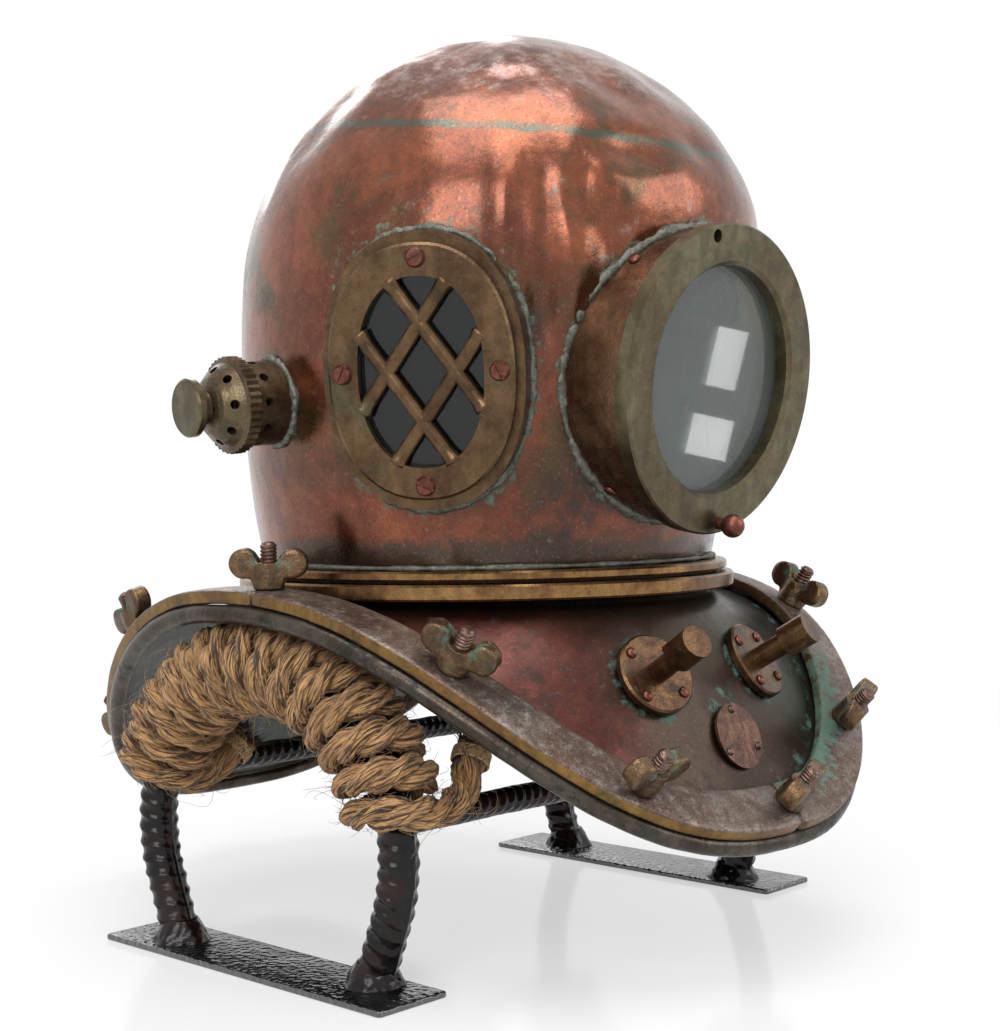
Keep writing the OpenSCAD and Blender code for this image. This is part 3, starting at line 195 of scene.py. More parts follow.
@dataclass
class Surface:
    """Points and faces that grow as simple forms are added, and end up as one piece."""

    points: list[Array] = field(default_factory=list)
    faces: list[list[int]] = field(default_factory=list)
    uvs: list[Array] = field(default_factory=list)
    kinds: list[int] = field(default_factory=list)
    patinas_and_painted_light: list[Array] = field(default_factory=list)
    count: int = 0

    def add_grid(self, grid: Array, wrap_rows: bool = False, uv: Array | None = None, kind: int | Array = 0,
                 patina_and_painted_light: Array | None = None) -> None:
        """Adds a grid of points, rows by columns by 3, whose columns close on themselves.

        Args:
            grid: the points in millimetres.
            wrap_rows: whether the last row joins the first. Otherwise the two get a cap each.
            uv: place on the pattern of each point, rows by columns by 2.
            kind: slot number of the faces, or one for each column.
            patina_and_painted_light: how dark, green and pale each point is, rows by columns by 3; the dark
                is partly painted shade and the pale partly a painted highlight.
        """
        rows, columns = grid.shape[:2]
        fresh = (grid_faces(rows, columns, wrap_rows) + self.count).tolist()
        self.kinds += np.resize(kind, len(fresh)).tolist()
        if not wrap_rows:
            first = self.count + np.arange(columns)
            fresh += [first.tolist(), (first[::-1] + (rows - 1) * columns).tolist()]
            self.kinds += [0, 0]
        self.faces += fresh
        self.points.append(grid.reshape(-1, 3))
        self.uvs.append(np.zeros((rows * columns, 2)) if uv is None else uv.reshape(-1, 2))
        self.patinas_and_painted_light.append(np.zeros((rows * columns, 3)) if patina_and_painted_light is None else patina_and_painted_light.reshape(-1, 3))
        self.count += rows * columns

    def piece(self, name: str, finishes: Sequence, with_uv: bool = False) -> bpy.types.Object:
        """The finished object."""
        uv = np.concatenate(self.uvs) if with_uv else None
        patina_and_painted_light = np.concatenate(self.patinas_and_painted_light)
        return make_mesh(name, np.concatenate(self.points), self.faces, finishes, np.array(self.kinds), uv,
                         patina_and_painted_light if patina_and_painted_light.any() else None)


def square_to(path: Array, hint: Array) -> tuple[Array, Array]:
    """Two directions square to a path and to each other at each point, the first nearest to the hint."""
    along = unit(np.gradient(path, axis=0))
    first = unit(hint - (hint * along).sum(-1, keepdims=True) * along)
    return first, np.cross(along, first)


def tube_grid(path: Array, radius: Array | float, hint: Array, sides: int) -> Array:
    """Rings of points round a path: path + radius (cos a, sin a) in the plane square to it.

    Args:
        path: points of the middle line.
        radius: one radius, or rows by sides of them.
        hint: direction that the first point of each ring faces.
        sides: points a ring.

    Returns:
        Rows by sides by 3.
    """
    first, second = square_to(path, hint)
    angle = round_angles(sides)[:, None]
    size = np.broadcast_to(radius, (len(path), sides))[..., None]
    return path[:, None] + size * (np.cos(angle) * first[:, None] + np.sin(angle) * second[:, None])


def ring_grid(line: Array, size: Array, across: Array, up: Array, sides: int) -> Array:
    """Rings of points round a line: line + size (across cos a + up sin a)."""
    angle = round_angles(sides)[:, None]
    return line[:, None] + size[:, None, None] * (np.cos(angle) * across[:, None] + np.sin(angle) * up)


def lathe_grid(profile: Array, columns: int) -> Array:
    """A profile of (radius, height) pairs turned about the local Z axis."""
    angle = round_angles(columns)
    radius, height = profile[:, :1], profile[:, 1:]
    return np.stack([radius * np.cos(angle), radius * np.sin(angle), height + 0.0 * angle], -1)


def rivet_grid(head_r: float, head_h: float, seat: float, shank_r: float, foot: float, rows: int,
               sides: int) -> Array:
    """A domed rivet on the local Z axis: a shank from its foot, then a head of (r cos a, seat + h sin a)."""
    dome = np.radians(np.linspace(0, 88, rows))
    head = np.stack([head_r * np.cos(dome), seat + REST_GAP + head_h * np.sin(dome)], 1)
    return lathe_grid(np.concatenate([[[shank_r, foot], [shank_r, seat + 0.2]], head]), sides)


def star_grid(inside: Field, centre: Array, reach: float, rows: int, columns: int) -> Array:
    """Surface of a form that can be seen whole from its centre.

    Each direction of a latitude and longitude grid is searched by halving for the place where the
    field turns from negative, inside, to positive, outside.

    Args:
        inside: signed field of the form.
        centre: the point that sees the whole surface.
        reach: a distance that is always outside.
        rows: rings from the lower pole to the upper.
        columns: points a ring.

    Returns:
        Rows by columns by 3.
    """
    polar = np.linspace(0.02, np.pi - 0.02, rows)[::-1, None]
    angle = round_angles(columns)[None]
    ray = [np.sin(polar) * np.cos(angle), np.sin(polar) * np.sin(angle), np.cos(polar) + 0 * angle]
    ray = np.stack(ray, -1)
    low, high = np.zeros(ray.shape[:2]), np.full(ray.shape[:2], reach)
    for _ in range(22):
        middle = (low + high) / 2
        out = inside((centre + ray * middle[..., None]).reshape(-1, 3)).reshape(low.shape) > 0
        low, high = np.where(out, low, middle), np.where(out, middle, high)
    return centre + ray * low[..., None]


# Finishes


def linear(code: str) -> tuple[float, float, float, float]:
    """Linear colour of an sRGB hex code."""
    part = [int(code[i:i + 2], 16) / 255 for i in (0, 2, 4)]
    return (*[c / 12.92 if c <= 0.04045 else ((c + 0.055) / 1.055) ** 2.4 for c in part], 1.0)


def per_metre(size_mm: float) -> float:
    """Noise scale, in cells a metre, of a pattern of a size in millimetres."""
    return 1000.0 / size_mm


@dataclass
class Nodes:
    """The node tree of one material or background."""

    tree: bpy.types.NodeTree

    def add(self, kind: str, inputs: dict | None = None, out: int | str = 0, **settings) -> Socket | None:
        """Adds a node with its settings, and sets or links its inputs.

        Args:
            kind: the node's type, without the leading "ShaderNode".
            inputs: a value, or an output to link, for each input by name or number.
            out: name or number of the output that is wanted.
            settings: the node's options.

        Returns:
            The wanted output, or None where the node has none.
        """
        node = self.tree.nodes.new("ShaderNode" + kind)
        for key, value in settings.items():
            setattr(node, key, value)
        for key, value in (inputs or {}).items():
            if isinstance(value, Socket):
                self.tree.links.new(value, node.inputs[key])
            else:
                node.inputs[key].default_value = value
        return node.outputs[out] if node.outputs else None

    def noise(self, place: Socket, size_mm: float, detail: float, out: int | str = 0, **inputs) -> Socket:
        """Adds cloudy noise of a size in millimetres. Further inputs, such as Roughness, go by name."""
        first = {"Vector": place, "Scale": per_metre(size_mm), "Detail": detail}
        return self.add("TexNoise", {**first, **inputs}, out)

    def ramp(self, value: Socket, start: float, end: float, least: float, most: float, **settings) -> Socket:
        """Adds a straight ramp: least up to its start, most from its end. The end may be the lower value."""
        return self.add("MapRange", {0: value, 1: start, 2: end, 3: least, 4: most}, **settings)

    def fade(self, value: Socket, start: float, end: float, most: float = 1.0, least: float = 0.0) -> Socket:
        """Adds the same ramp with a soft start and end."""
        return self.ramp(value, start, end, least, most, **SMOOTH)

    def blend(self, share: Socket | float, first: Socket | str, second: Socket | str, **settings) -> Socket:
        """Adds a mix of two colours, each an output or a hex code. A share of 1 is all of the second."""
        ends = [linear(end) if isinstance(end, str) else end for end in (first, second)]
        return self.add("Mix", {0: share, 6: ends[0], 7: ends[1]}, **settings, **RGBA)

    def maths(self, operation: str, *values: Socket | float) -> Socket:
        """Adds one calculation with up to three values."""
        return self.add("Math", dict(enumerate(values)), operation=operation)


@dataclass(frozen=True)
class Finish:
    """What every finish has: the stuff's common name, and a material that is made once."""

    name: str

    def build(self, n: Nodes) -> Socket:
        """Adds the finish's nodes and returns its shader."""
        raise NotImplementedError

    def made(self) -> bpy.types.Material:
        """The material, made at its first use."""
        if self.name in bpy.data.materials:
            return bpy.data.materials[self.name]
        material = bpy.data.materials.new(self.name)
        material.use_nodes = True
        material.node_tree.nodes.clear()
        n = Nodes(material.node_tree)
        n.add("OutputMaterial", {"Surface": self.build(n)})
        return material


@dataclass(frozen=True)
class Band:
    """A stripe of a surface with a tone of its own, square to a direction, wavy and broken up by noise.

    middle, half and soft are millimetres along the direction, share is how much of the tone shows, and
    gaps is the share of the stripe that is missing.
    """

    direction: tuple[float, float, float]
    middle: float
    half: float
    soft: float
    tone: str
    share: float = 1.0
    broken_mm: float = 12.0
    gaps: float = 0.0


@dataclass(frozen=True)
class AgedMetal(Finish):
    """Copper alloy that has weathered in the open: three metal tones, dark oxidised patches, green bloom,
    pale dust and pits.

    Colours are sRGB hex codes, sizes millimetres and shares 0 to 1. A mesh may mark its points in the red,
    green and blue
    of a point attribute: dark, green and pale. On the corselet sheet and the bonnet the dark mark is partly
    painted shade, drawn in the dark oxidised tone, and on the bonnet's crown the pale mark is partly a
    painted highlight.
    """

    clean: str = "6f6148"
    warm: str = "5d4d36"
    olive: str = "55513c"
    oxide_and_painted_shade: str = "2c241b"
    bloom: str = "5b7f70"
    pale: str = "94877c"
    patch_mm: float = 30.0
    mottle_mm: float = 5.0
    grain_mm: float = 0.9
    olive_share: float = 0.4
    oxide_share: float = 0.3
    bloom_share: float = 0.1
    speck_share: float = 0.35
    streak_share: float = 0.2
    metallic: float = 0.8
    smooth: float = 0.42
    dull: float = 0.5
    coat: float = 0.0
    relief: tuple[tuple[float, float], ...] = ((6.0, 0.18), (1.0, 0.09))
    bands: tuple[Band, ...] = ()

    def tone(self, n: Nodes, place: Socket, mottle: Socket, clouds: Sequence[Socket]) -> Socket:
        """Adds the bare metal's colour: three tones in clouds, shaded by the mottle and by drawn-out streaks.

        Args:
            n: the tree.
            place: object coordinates.
            mottle: the fine cloudy noise.
            clouds: three independent broad noises.

        Returns:
            The colour.
        """
        turn_warm = n.fade(clouds[0], 0.42, 0.58)
        colour = n.blend(turn_warm, self.clean, self.warm)
        edge = 0.66 - 0.22 * self.olive_share
        turn_olive = n.fade(clouds[1], edge, edge + 0.13)
        colour = n.blend(turn_olive, colour, self.olive)
        drawn = n.add("Mapping", {"Vector": place, "Scale": (1.0, 1.0, 0.13)})
        streak = n.noise(drawn, self.mottle_mm, 4.0)
        shade = n.ramp(mottle, 0.3, 0.7, 0.66, 1.34)
        faint, strong = 1.0 - self.streak_share, 1.0 + self.streak_share
        run = n.ramp(streak, 0.3, 0.7, faint, strong)
        shade = n.maths("MULTIPLY", shade, run)
        return n.blend(1.0, colour, shade, blend_type="MULTIPLY")

    def banded(self, n: Nodes, place: Socket, colour: Socket) -> Socket:
        """Adds the stripes over a colour: each is full within half of its wavy middle and fades over soft."""
        for band in self.bands:
            noise = n.noise(place, band.broken_mm, 6.0, Roughness=0.65, out="Color")
            wave, hole, _ = n.add("SeparateColor", {0: noise}).node.outputs
            along = n.add("VectorMath", {0: place, 1: band.direction}, "Value", operation="DOT_PRODUCT")
            along = n.maths("MULTIPLY_ADD", wave, 2.4 * band.soft * MM, along)
            middle = (band.middle + 1.2 * band.soft) * MM
            off = n.maths("SUBTRACT", along, middle)
            off = n.maths("ABSOLUTE", off)
            there = n.fade(off, band.half * MM, (band.half + band.soft) * MM, 0.0, least=band.share)
            edge, least = 0.3 * band.gaps, 1.0 - band.gaps
            kept = n.fade(hole, 0.3 + edge, 0.42 + edge, least=least)
            there = n.maths("MULTIPLY", there, kept)
            colour = n.blend(there, colour, band.tone)
        return colour

    def build(self, n: Nodes) -> Socket:
        """Adds the tones, the stripes and the mesh's dark, green and pale marks, which are partly painted
        shade and highlight, and a relief and a gloss that follow the noises.
        """
        place = n.add("TexCoord", out="Object")
        broad = n.noise(place, self.patch_mm, 5.0, Roughness=0.6, Distortion=0.4, out="Color")
        clouds = list(n.add("SeparateColor", {0: broad}).node.outputs)
        mottle = n.noise(place, self.mottle_mm, 8.0, Roughness=0.72)
        grain = n.noise(place, self.grain_mm, 3.0, Roughness=0.6)
        colour = self.banded(n, place, self.tone(n, place, mottle, clouds))
        sampled_patina_and_painted_light = n.add("Attribute", out="Color", attribute_name="patina_and_painted_light")
        dark_and_painted_shade_at, green_at, pale_and_painted_highlight_at = n.add("SeparateColor", {0: sampled_patina_and_painted_light}).node.outputs

        ragged = n.ramp(mottle, 0.3, 0.7, -0.45, 0.45)
        edge, most = 0.585 - 0.1 * self.oxide_share, min(0.9, 0.4 + self.oxide_share)
        both = n.add("Mix", {0: 0.5, 2: clouds[2], 3: mottle})
        dark = n.fade(both, edge, edge + 0.08, most)
        # The mesh's dark mark, partly painted shade, joins the dark clouds and is drawn in the same dark
        # tone.
        dark_and_painted_shade_at = n.maths("ADD", dark_and_painted_shade_at, ragged)
        dark_and_painted_shade_at = n.fade(dark_and_painted_shade_at, 0.15, 0.95, 0.92)
        dark = n.maths("MAXIMUM", dark, dark_and_painted_shade_at)
        colour = n.blend(dark, colour, self.oxide_and_painted_shade)

        # The mesh's pale mark: on the bonnet's crown it is partly a painted highlight.
        pale_and_painted_highlight_at = n.maths("ADD", pale_and_painted_highlight_at, ragged)
        pale = n.fade(pale_and_painted_highlight_at, 0.2, 0.8, 0.75)
        glint = n.fade(grain, 0.40, 0.30, 0.55 * self.speck_share)
        pale = n.maths("MAXIMUM", pale, glint)
        colour = n.blend(pale, colour, self.pale)

        speck = n.fade(grain, 0.57, 0.66, self.speck_share)
        colour = n.blend(speck, colour, self.oxide_and_painted_shade)

        spread = n.noise(place, 2.4 * self.mottle_mm, 8.0, Roughness=0.7, Distortion=0.8)
        edge, most = 0.66 - 0.2 * self.bloom_share, min(0.85, 4.0 * self.bloom_share)
        green = n.fade(spread, edge, edge + 0.06, most)
        green_at = n.maths("ADD", green_at, ragged)
        green_at = n.fade(green_at, 0.3, 0.7, 0.9)
        green = n.maths("MAXIMUM", green, green_at)
        colour = n.blend(green, colour, self.bloom)

        half_dull = n.maths("MULTIPLY", dark, 0.6)
        dull = n.maths("MAXIMUM", half_dull, green)
        dull = n.maths("MAXIMUM", dull, speck)
        rough = n.maths("MULTIPLY_ADD", mottle, 0.35, dull)
        normal = None
        for size, depth in self.relief:
            height = n.noise(place, size, 2.0)
            inputs = {"Height": height, "Distance": depth * MM}
            normal = n.add("Bump", inputs if normal is None else {**inputs, "Normal": normal})
        metallic = n.ramp(dull, 0.2, 1.0, self.metallic, 0.2 * self.metallic)
        rough = n.ramp(rough, 0.12, 1.1, self.smooth, self.dull + 0.15)
        return n.add("BsdfPrincipled", {"Base Color": colour, "Normal": normal, "Metallic": metallic,
                                        "Roughness": rough, "Coat Weight": self.coat, "Coat Roughness": 0.2})


@dataclass(frozen=True)
class Lacquer(Finish):
    """Black lacquer over steel: a wet gloss coat that ran in waves, or a hammered one."""

    tone: str = "120d0d"
    tint: str = "2a1512"
    roughness: float = 0.22
    pebble_mm: float = 3.0
    depth_mm: float = 0.35
    ior: float = 1.5

    def build(self, n: Nodes) -> Socket:
        """Adds a dark coat with smooth pebbles of lacquer that catch the light."""
        place = n.add("TexCoord", out="Object")
        spread = n.noise(place, 18.0, 4.0)
        fine = n.noise(place, 0.6 * self.pebble_mm, 3.0)
        pebble = n.add("TexVoronoi", {"Vector": place, "Scale": per_metre(self.pebble_mm), "Smoothness": 0.6},
                       feature="SMOOTH_F1")
        share = n.fade(spread, 0.4, 0.65)
        normal = n.add("Bump", {"Height": fine, "Distance": 0.4 * self.depth_mm * MM})
        colour = n.blend(share, self.tone, self.tint)
        normal = n.add("Bump", {"Height": pebble, "Distance": self.depth_mm * MM, "Normal": normal})
        rough = n.ramp(spread, 0.35, 0.7, self.roughness, self.roughness + 0.15)
        return n.add("BsdfPrincipled", {"Base Color": colour, "Normal": normal, "Roughness": rough,
                                        "IOR": self.ior})


@dataclass(frozen=True)
class Fibre(Finish):
    """Laid plant fibre on a tube whose map runs along it in U and round it in V, both in millimetres."""

    pale: str = "cb9d68"
    middle: str = "7f5a36"
    dark: str = "2c1808"
    fibre_mm: float = 0.45
    slant: float = 0.55
    roughness: float = 0.7
    depth_mm: float = 0.5

    def build(self, n: Nodes) -> Socket:
        """Adds noise drawn out along the fibres: fine threads, bundles of them with painted shade in the
        gaps, and stains.
        """
        uv = n.add("UVMap", uv_map="surface")
        laid = n.add("Mapping", {"Vector": uv, "Rotation": (0.0, 0.0, self.slant)})
        drawn = n.add("Mapping", {"Vector": laid, "Scale": (0.05, 1.0, 1.0)})
        thread = n.add("TexNoise", {"Vector": drawn, "Scale": 1.0 / self.fibre_mm, "Detail": 4.0,
                                    "Roughness": 0.7}, noise_dimensions="2D")
        bundle = n.add("TexNoise", {"Vector": drawn, "Scale": 0.38 / self.fibre_mm, "Detail": 3.0},
                       noise_dimensions="2D")
        place = n.add("TexCoord", out="Object")
        stain = n.noise(place, 22.0, 4.0)
        bright = n.fade(thread, 0.4, 0.6)
        colour = n.blend(bright, self.middle, self.pale)
        # Painted shade in the gaps between bundles and between threads.
        gap = n.fade(bundle, 0.5, 0.39, 0.95)
        split = n.fade(thread, 0.46, 0.36, 0.85)
        gap = n.maths("MAXIMUM", gap, split)
        colour = n.blend(gap, colour, self.dark)
        stained = n.fade(stain, 0.5, 0.72, 0.5)
        colour = n.blend(stained, colour, self.middle)
        normal = n.add("Bump", {"Height": bundle, "Distance": self.depth_mm * MM})
        normal = n.add("Bump", {"Height": thread, "Distance": 0.6 * self.depth_mm * MM, "Normal": normal})
        return n.add("BsdfPrincipled", {"Base Color": colour, "Normal": normal, "Roughness": self.roughness,
                                        "Sheen Weight": 0.15, "Sheen Roughness": 0.4})


@dataclass(frozen=True)
class PlateGlass(Finish):
    """Old plate glass under a thin film of dust on both faces, which scatters a little light."""

    tint: str = "e4ece8"
    film: str = "727b77"
    film_share: float = 0.27
    fleck: str = "b4b9b2"
    roughness: float = 0.02

    def build(self, n: Nodes) -> Socket:
        """Adds refracting glass mixed with the film, which is a little patchy."""
        place = n.add("TexCoord", out="Object")
        cloud = n.noise(place, 40.0, 4.0)
        dust = n.noise(place, 1.6, 3.0)
        glass = n.add("BsdfPrincipled", {"Base Color": linear(self.tint), "Roughness": self.roughness,
                                         "IOR": 1.5, "Transmission Weight": 1.0})
        light = n.fade(dust, 0.62, 0.74, 0.12)
        colour = n.blend(light, self.film, self.fleck)
        film = n.add("BsdfPrincipled", {"Base Color": colour, "Roughness": 0.5, "IOR": 1.5})
        thin, thick = 0.85 * self.film_share, 1.15 * self.film_share
        share = n.ramp(cloud, 0.3, 0.7, thin, thick)
        return n.add("MixShader", {0: share, 1: glass, 2: film})


@dataclass(frozen=True)
class PlainStuff(Finish):
    """Rubber, leather or spring steel: two near tones with a fine grain."""

    tone: str = "202020"
    other: str = "2c2c2a"
    grain_mm: float = 1.0
    roughness: float = 0.7
    metallic: float = 0.0

    def build(self, n: Nodes) -> Socket:
        """Adds the two tones in a fine grain with the same relief."""
        place = n.add("TexCoord", out="Object")
        grain = n.noise(place, self.grain_mm, 4.0)
        share = n.fade(grain, 0.35, 0.65)
        colour = n.blend(share, self.tone, self.other)
        normal = n.add("Bump", {"Height": grain, "Distance": 0.15 * MM})
        return n.add("BsdfPrincipled", {"Base Color": colour, "Normal": normal, "Roughness": self.roughness,
                                        "Metallic": self.metallic})


UP_BONNET = (0.0, -float(np.sin(np.radians(BONNET_LEAN))), float(np.cos(np.radians(BONNET_LEAN))))
# Raised and planished copper sheet: red brown, with olive clouds, dark freckles and an orange-peel gloss,
# a broken grey-green line along its brazed seam, painted shade along its foot and a broken band of painted
# dark reflection low down. Its pale tone also paints part of the crown's highlight.
BONNET_COPPER = AgedMetal(
    "raised_copper_sheet", clean="80462c", warm="673520", olive="554024", oxide_and_painted_shade="291c12", bloom="5f7260",
    pale="a78f88", patch_mm=62, mottle_mm=8, grain_mm=1.3, olive_share=0.55, oxide_share=0.28,
    bloom_share=0.03, speck_share=0.45, streak_share=0.13, metallic=0.86, smooth=0.2, dull=0.42, coat=0.4,
    relief=((24.0, 0.9), (7.0, 0.16), (2.2, 0.055), (0.9, 0.04)),
    bands=(Band(UP_BONNET, 404.0, 1.0, 2.2, "484c3f", 0.9, 15.0, 0.3),
           # Painted shade along the foot, where the bonnet meets the neck ring.
           Band((0, 0, 1), 195.0, 4.0, 9.0, "38352b", 0.8, 10.0),
           # A broken band of painted dark reflection low round the bonnet.
           Band((0, 0, 1), 238.0, 2.0, 11.0, "3d3226", 0.5, 30.0, 0.4)))
# Tinned copper, dulled to a grey green inside the helmet.
TINNED_COPPER = AgedMetal(
    "tinned_copper", clean="5c605c", warm="4c504b", olive="4d5248", oxide_and_painted_shade="2b2d2a", bloom="66786e",
    patch_mm=45.0, mottle_mm=7.0, grain_mm=1.0, metallic=0.5, dull=0.6)
# Beaten copper sheet under an old maroon skin, gone brown and then grey green towards the wearer's left, with
# a near-black band of painted shadow round the neck, under the neck ring.
CORSELET_COPPER = AgedMetal(
    "beaten_copper_sheet", clean="582d26", warm="44211b", olive="40291e", oxide_and_painted_shade="1e1610", bloom="4f6e60",
    pale="7d6c63", patch_mm=50, mottle_mm=8, grain_mm=1.3, olive_share=0.35, bloom_share=0.06,
    speck_share=0.4, streak_share=0.1, smooth=0.36, dull=0.58, coat=0.1,
    relief=((18.0, 0.55), (6.0, 0.14), (1.6, 0.06)),
    bands=(Band((1, 0, 0), 60.0, 96.0, 46.0, "33291d", 0.86, 34.0),
           Band((1, -0.2, 0), 170.0, 50.0, 70.0, "353b33", 0.8, 34.0),
           # Painted shadow under the neck ring.
           Band((0, 0, 1), 178.0, 3.0, 11.0, "23231f", 0.8, 14.0)))
# The corselet's rolled edge: grey, patchy dark, with painted shade where it runs under the straps, and rubbed
# along the top.
ROLLED_EDGE = AgedMetal(
    "rolled_copper_edge", clean="4e4840", warm="3f362e", olive="3c4038", oxide_and_painted_shade="191613", bloom="506458",
    pale="8b857c", grain_mm=1.0, oxide_share=0.6, metallic=0.85, smooth=0.27)
# Sand-cast bronze straps: grey brown on top, with the mould's grain standing in it as pale and dark points.
CAST_STRAP = AgedMetal(
    "sand_cast_bronze_strap", clean="73645a", warm="5d493e", olive="514b3f", oxide_and_painted_shade="2f2620", bloom="4f7162",
    pale="a39a94", patch_mm=40, oxide_share=0.4, bloom_share=0.07, speck_share=0.9, metallic=0.65,
    dull=0.65, relief=((9.0, 0.25), (1.1, 0.28)))
# The straps' sides, filed flat after casting: ochre brass.
FILED_STRAP = AgedMetal(
    "filed_strap_side", clean="7d6133", warm="6d4f2f", olive="5a5434", oxide_and_painted_shade="33291d", bloom="5c7f70",
    oxide_share=0.35, bloom_share=0.07, smooth=0.36, dull=0.55)
# Rough cast bronze nuts: golden brown and grey, and green in the saddle.
CAST_NUT = AgedMetal(
    "cast_bronze_nut", clean="6d5439", warm="54402f", olive="4b4537", oxide_and_painted_shade="201914", bloom="4a6a5c",
    pale="8b7d70", patch_mm=13, mottle_mm=3.5, grain_mm=0.8, oxide_share=0.4, bloom_share=0.14,
    speck_share=0.6, metallic=0.75, smooth=0.3, dull=0.55, relief=((5.0, 0.3), (1.0, 0.28)))
# Turned bronze studs, dull brown on the domed tips.
STUD_BRONZE = AgedMetal(
    "turned_bronze_stud", clean="70584e", warm="5a3f36", olive="4f463a", oxide_and_painted_shade="2c211c", bloom="5b8473",
    patch_mm=12, mottle_mm=3.5, grain_mm=0.7, oxide_share=0.35, bloom_share=0.14, metallic=0.75,
    smooth=0.32)
# Turned brass ring, gone grey olive, semi-matte, with fine scratches.
RING_BRASS = AgedMetal(
    "turned_olive_brass", clean="615b46", warm="544a37", olive="51513d", oxide_and_painted_shade="2f281e", bloom="5d7466",
    pale="8a8068", patch_mm=46, mottle_mm=7, grain_mm=1.0, oxide_share=0.2, bloom_share=0.03, metallic=0.85,
    smooth=0.3, relief=((5.0, 0.05), (0.8, 0.05)))
# Cast brass frames and seats, brown olive and darker than the ring.
FRAME_BRASS = AgedMetal(
    "cast_brown_brass", clean="624c34", warm="4f3a28", olive="524b36", oxide_and_painted_shade="2b231a", bloom="52776a",
    pale="8a7868", patch_mm=34, mottle_mm=6, grain_mm=1.0, oxide_share=0.34, bloom_share=0.05,
    speck_share=0.4, metallic=0.82, smooth=0.27, relief=((6.0, 0.14), (1.1, 0.12)))
# The front light's tube: red brass, brown with pale specks.
TUBE_BRASS = AgedMetal(
    "red_brass_tube", clean="745842", warm="5f4231", olive="574c33", oxide_and_painted_shade="2f251b", bloom="4f7a72",
    pale="94857a", patch_mm=32, mottle_mm=6, grain_mm=1.0, bloom_share=0.06, metallic=0.84, smooth=0.24,
    dull=0.45, relief=((6.0, 0.1), (1.2, 0.07)))
# The neck rings: the brightest brass on the helmet, rubbed by the joint.
NECK_BRASS = AgedMetal(
    "rubbed_neck_brass", clean="8b6a42", warm="694b31", olive="5f4c31", oxide_and_painted_shade="2a2018", bloom="5d7466",
    pale="a08563", grain_mm=0.8, bloom_share=0.03, metallic=0.88, smooth=0.24, dull=0.45,
    relief=((5.0, 0.06), (0.9, 0.05)))
# Weight studs: dark brown cast brass with turning rings, worn by the ropes that hung there.
WEIGHT_BRASS = AgedMetal(
    "dark_brown_brass", clean="64492f", warm="4c3526", olive="4c4534", oxide_and_painted_shade="261c15", bloom="5b8d7b",
    pale="8a7763", patch_mm=16, mottle_mm=4, speck_share=0.45, metallic=0.82, smooth=0.28,
    relief=((4.0, 0.14), (0.9, 0.12)))
# Exhaust valve: grey brown brass with pale salts in specks.
VALVE_BRASS = AgedMetal(
    "grey_brown_brass", clean="62553f", warm="504030", olive="4a4838", oxide_and_painted_shade="26201a", bloom="6d8074",
    pale="8d857a", patch_mm=16, mottle_mm=4, oxide_share=0.35, bloom_share=0.08, speck_share=0.45,
    smooth=0.3, dull=0.55, relief=((4.0, 0.14), (1.0, 0.12)))
# The bare round plate on the breast: worn bronze, streaked red brown.
PLATE_BRONZE = AgedMetal(
    "worn_bronze_plate", clean="644538", warm="4c3127", olive="4a3b30", oxide_and_painted_shade="37302b", bloom="5f8a7a",
    pale="96877d", patch_mm=10, mottle_mm=3.5, oxide_share=0.4, speck_share=0.6, streak_share=0.35,
    metallic=0.72, smooth=0.32, dull=0.55, relief=((3.0, 0.2), (1.0, 0.2)))
# Copper rivets and screws, dull red brown.
RIVET_COPPER = AgedMetal(
    "copper_rivet", clean="744338", warm="5e362d", olive="5c4638", oxide_and_painted_shade="2b1d18", bloom="5f8a7a",
    patch_mm=6, mottle_mm=2.5, grain_mm=0.7, bloom_share=0.06, smooth=0.32)
# Soft solder run by hand, gone to grey crumbs with green in them.
SOLDER = AgedMetal(
    "weathered_solder", clean="6a6a61", warm="57574d", olive="4c5145", oxide_and_painted_shade="302f28", bloom="5a7a6c",
    pale="989a93", patch_mm=9, mottle_mm=2.6, oxide_share=0.45, bloom_share=0.16, speck_share=0.7,
    metallic=0.4, dull=0.7, relief=((2.4, 0.5), (0.8, 0.25)))
# Gloss lacquer that ran over the ribs of the bars, with a brown light in it.
BAR_LACQUER = Lacquer("gloss_lacquer_on_bar", "0c0809", "24130f", 0.13, 3.2, 0.25, 1.36)
# Hammered lacquer: black pebbles with bright tops.
PLATE_LACQUER = Lacquer("hammered_lacquer_on_plate", "0b0b0d", "161619", 0.12, 3.0, 0.9, 2.1)
# Laid manila: straw-coloured fibres over brown, with painted shade in the gaps between the bundles.
MANILA = Fibre("laid_manila")
# Loose manila fibres, paler than the rope because light comes through them.
STRAY_MANILA = Fibre("stray_manila_fibre", "d3b48a", "a07a50", "6a4626", 0.45, 0.0, 0.7, 0.1)
# Hemp twine, wound in close turns.
TWINE = Fibre("hemp_twine", "c4a578", "97744a", "5a3f24", 0.4, 1.35, 0.75, 0.3)
# The rope's cut ends, dark and frayed into single fibres.
FRAYED_END = Fibre("frayed_manila_end", "8a6238", "553619", "25150a", 0.5, 0.1, 0.7, 0.3)
# Thick front glass, misty: what lies behind it shows through a grey green haze.
FRONT_GLASS = PlateGlass("misty_plate_glass")
# Side glass: tinted dark grey under less dust, as painted shade for the dark inside that lies behind it.
SIDE_GLASS = PlateGlass("clear_plate_glass", "3c464b", "3c454a", 0.03)
# Gasket: black rubber, matt.
SEAL_RUBBER = PlainStuff("gasket_rubber", "1d1d1c", "2a2a28", 1.2, 0.75)
# Neck washer: greased leather, dark brown.
WASHER_LEATHER = PlainStuff("greased_leather", "2c1f18", "3d2c20", 1.6, 0.6)
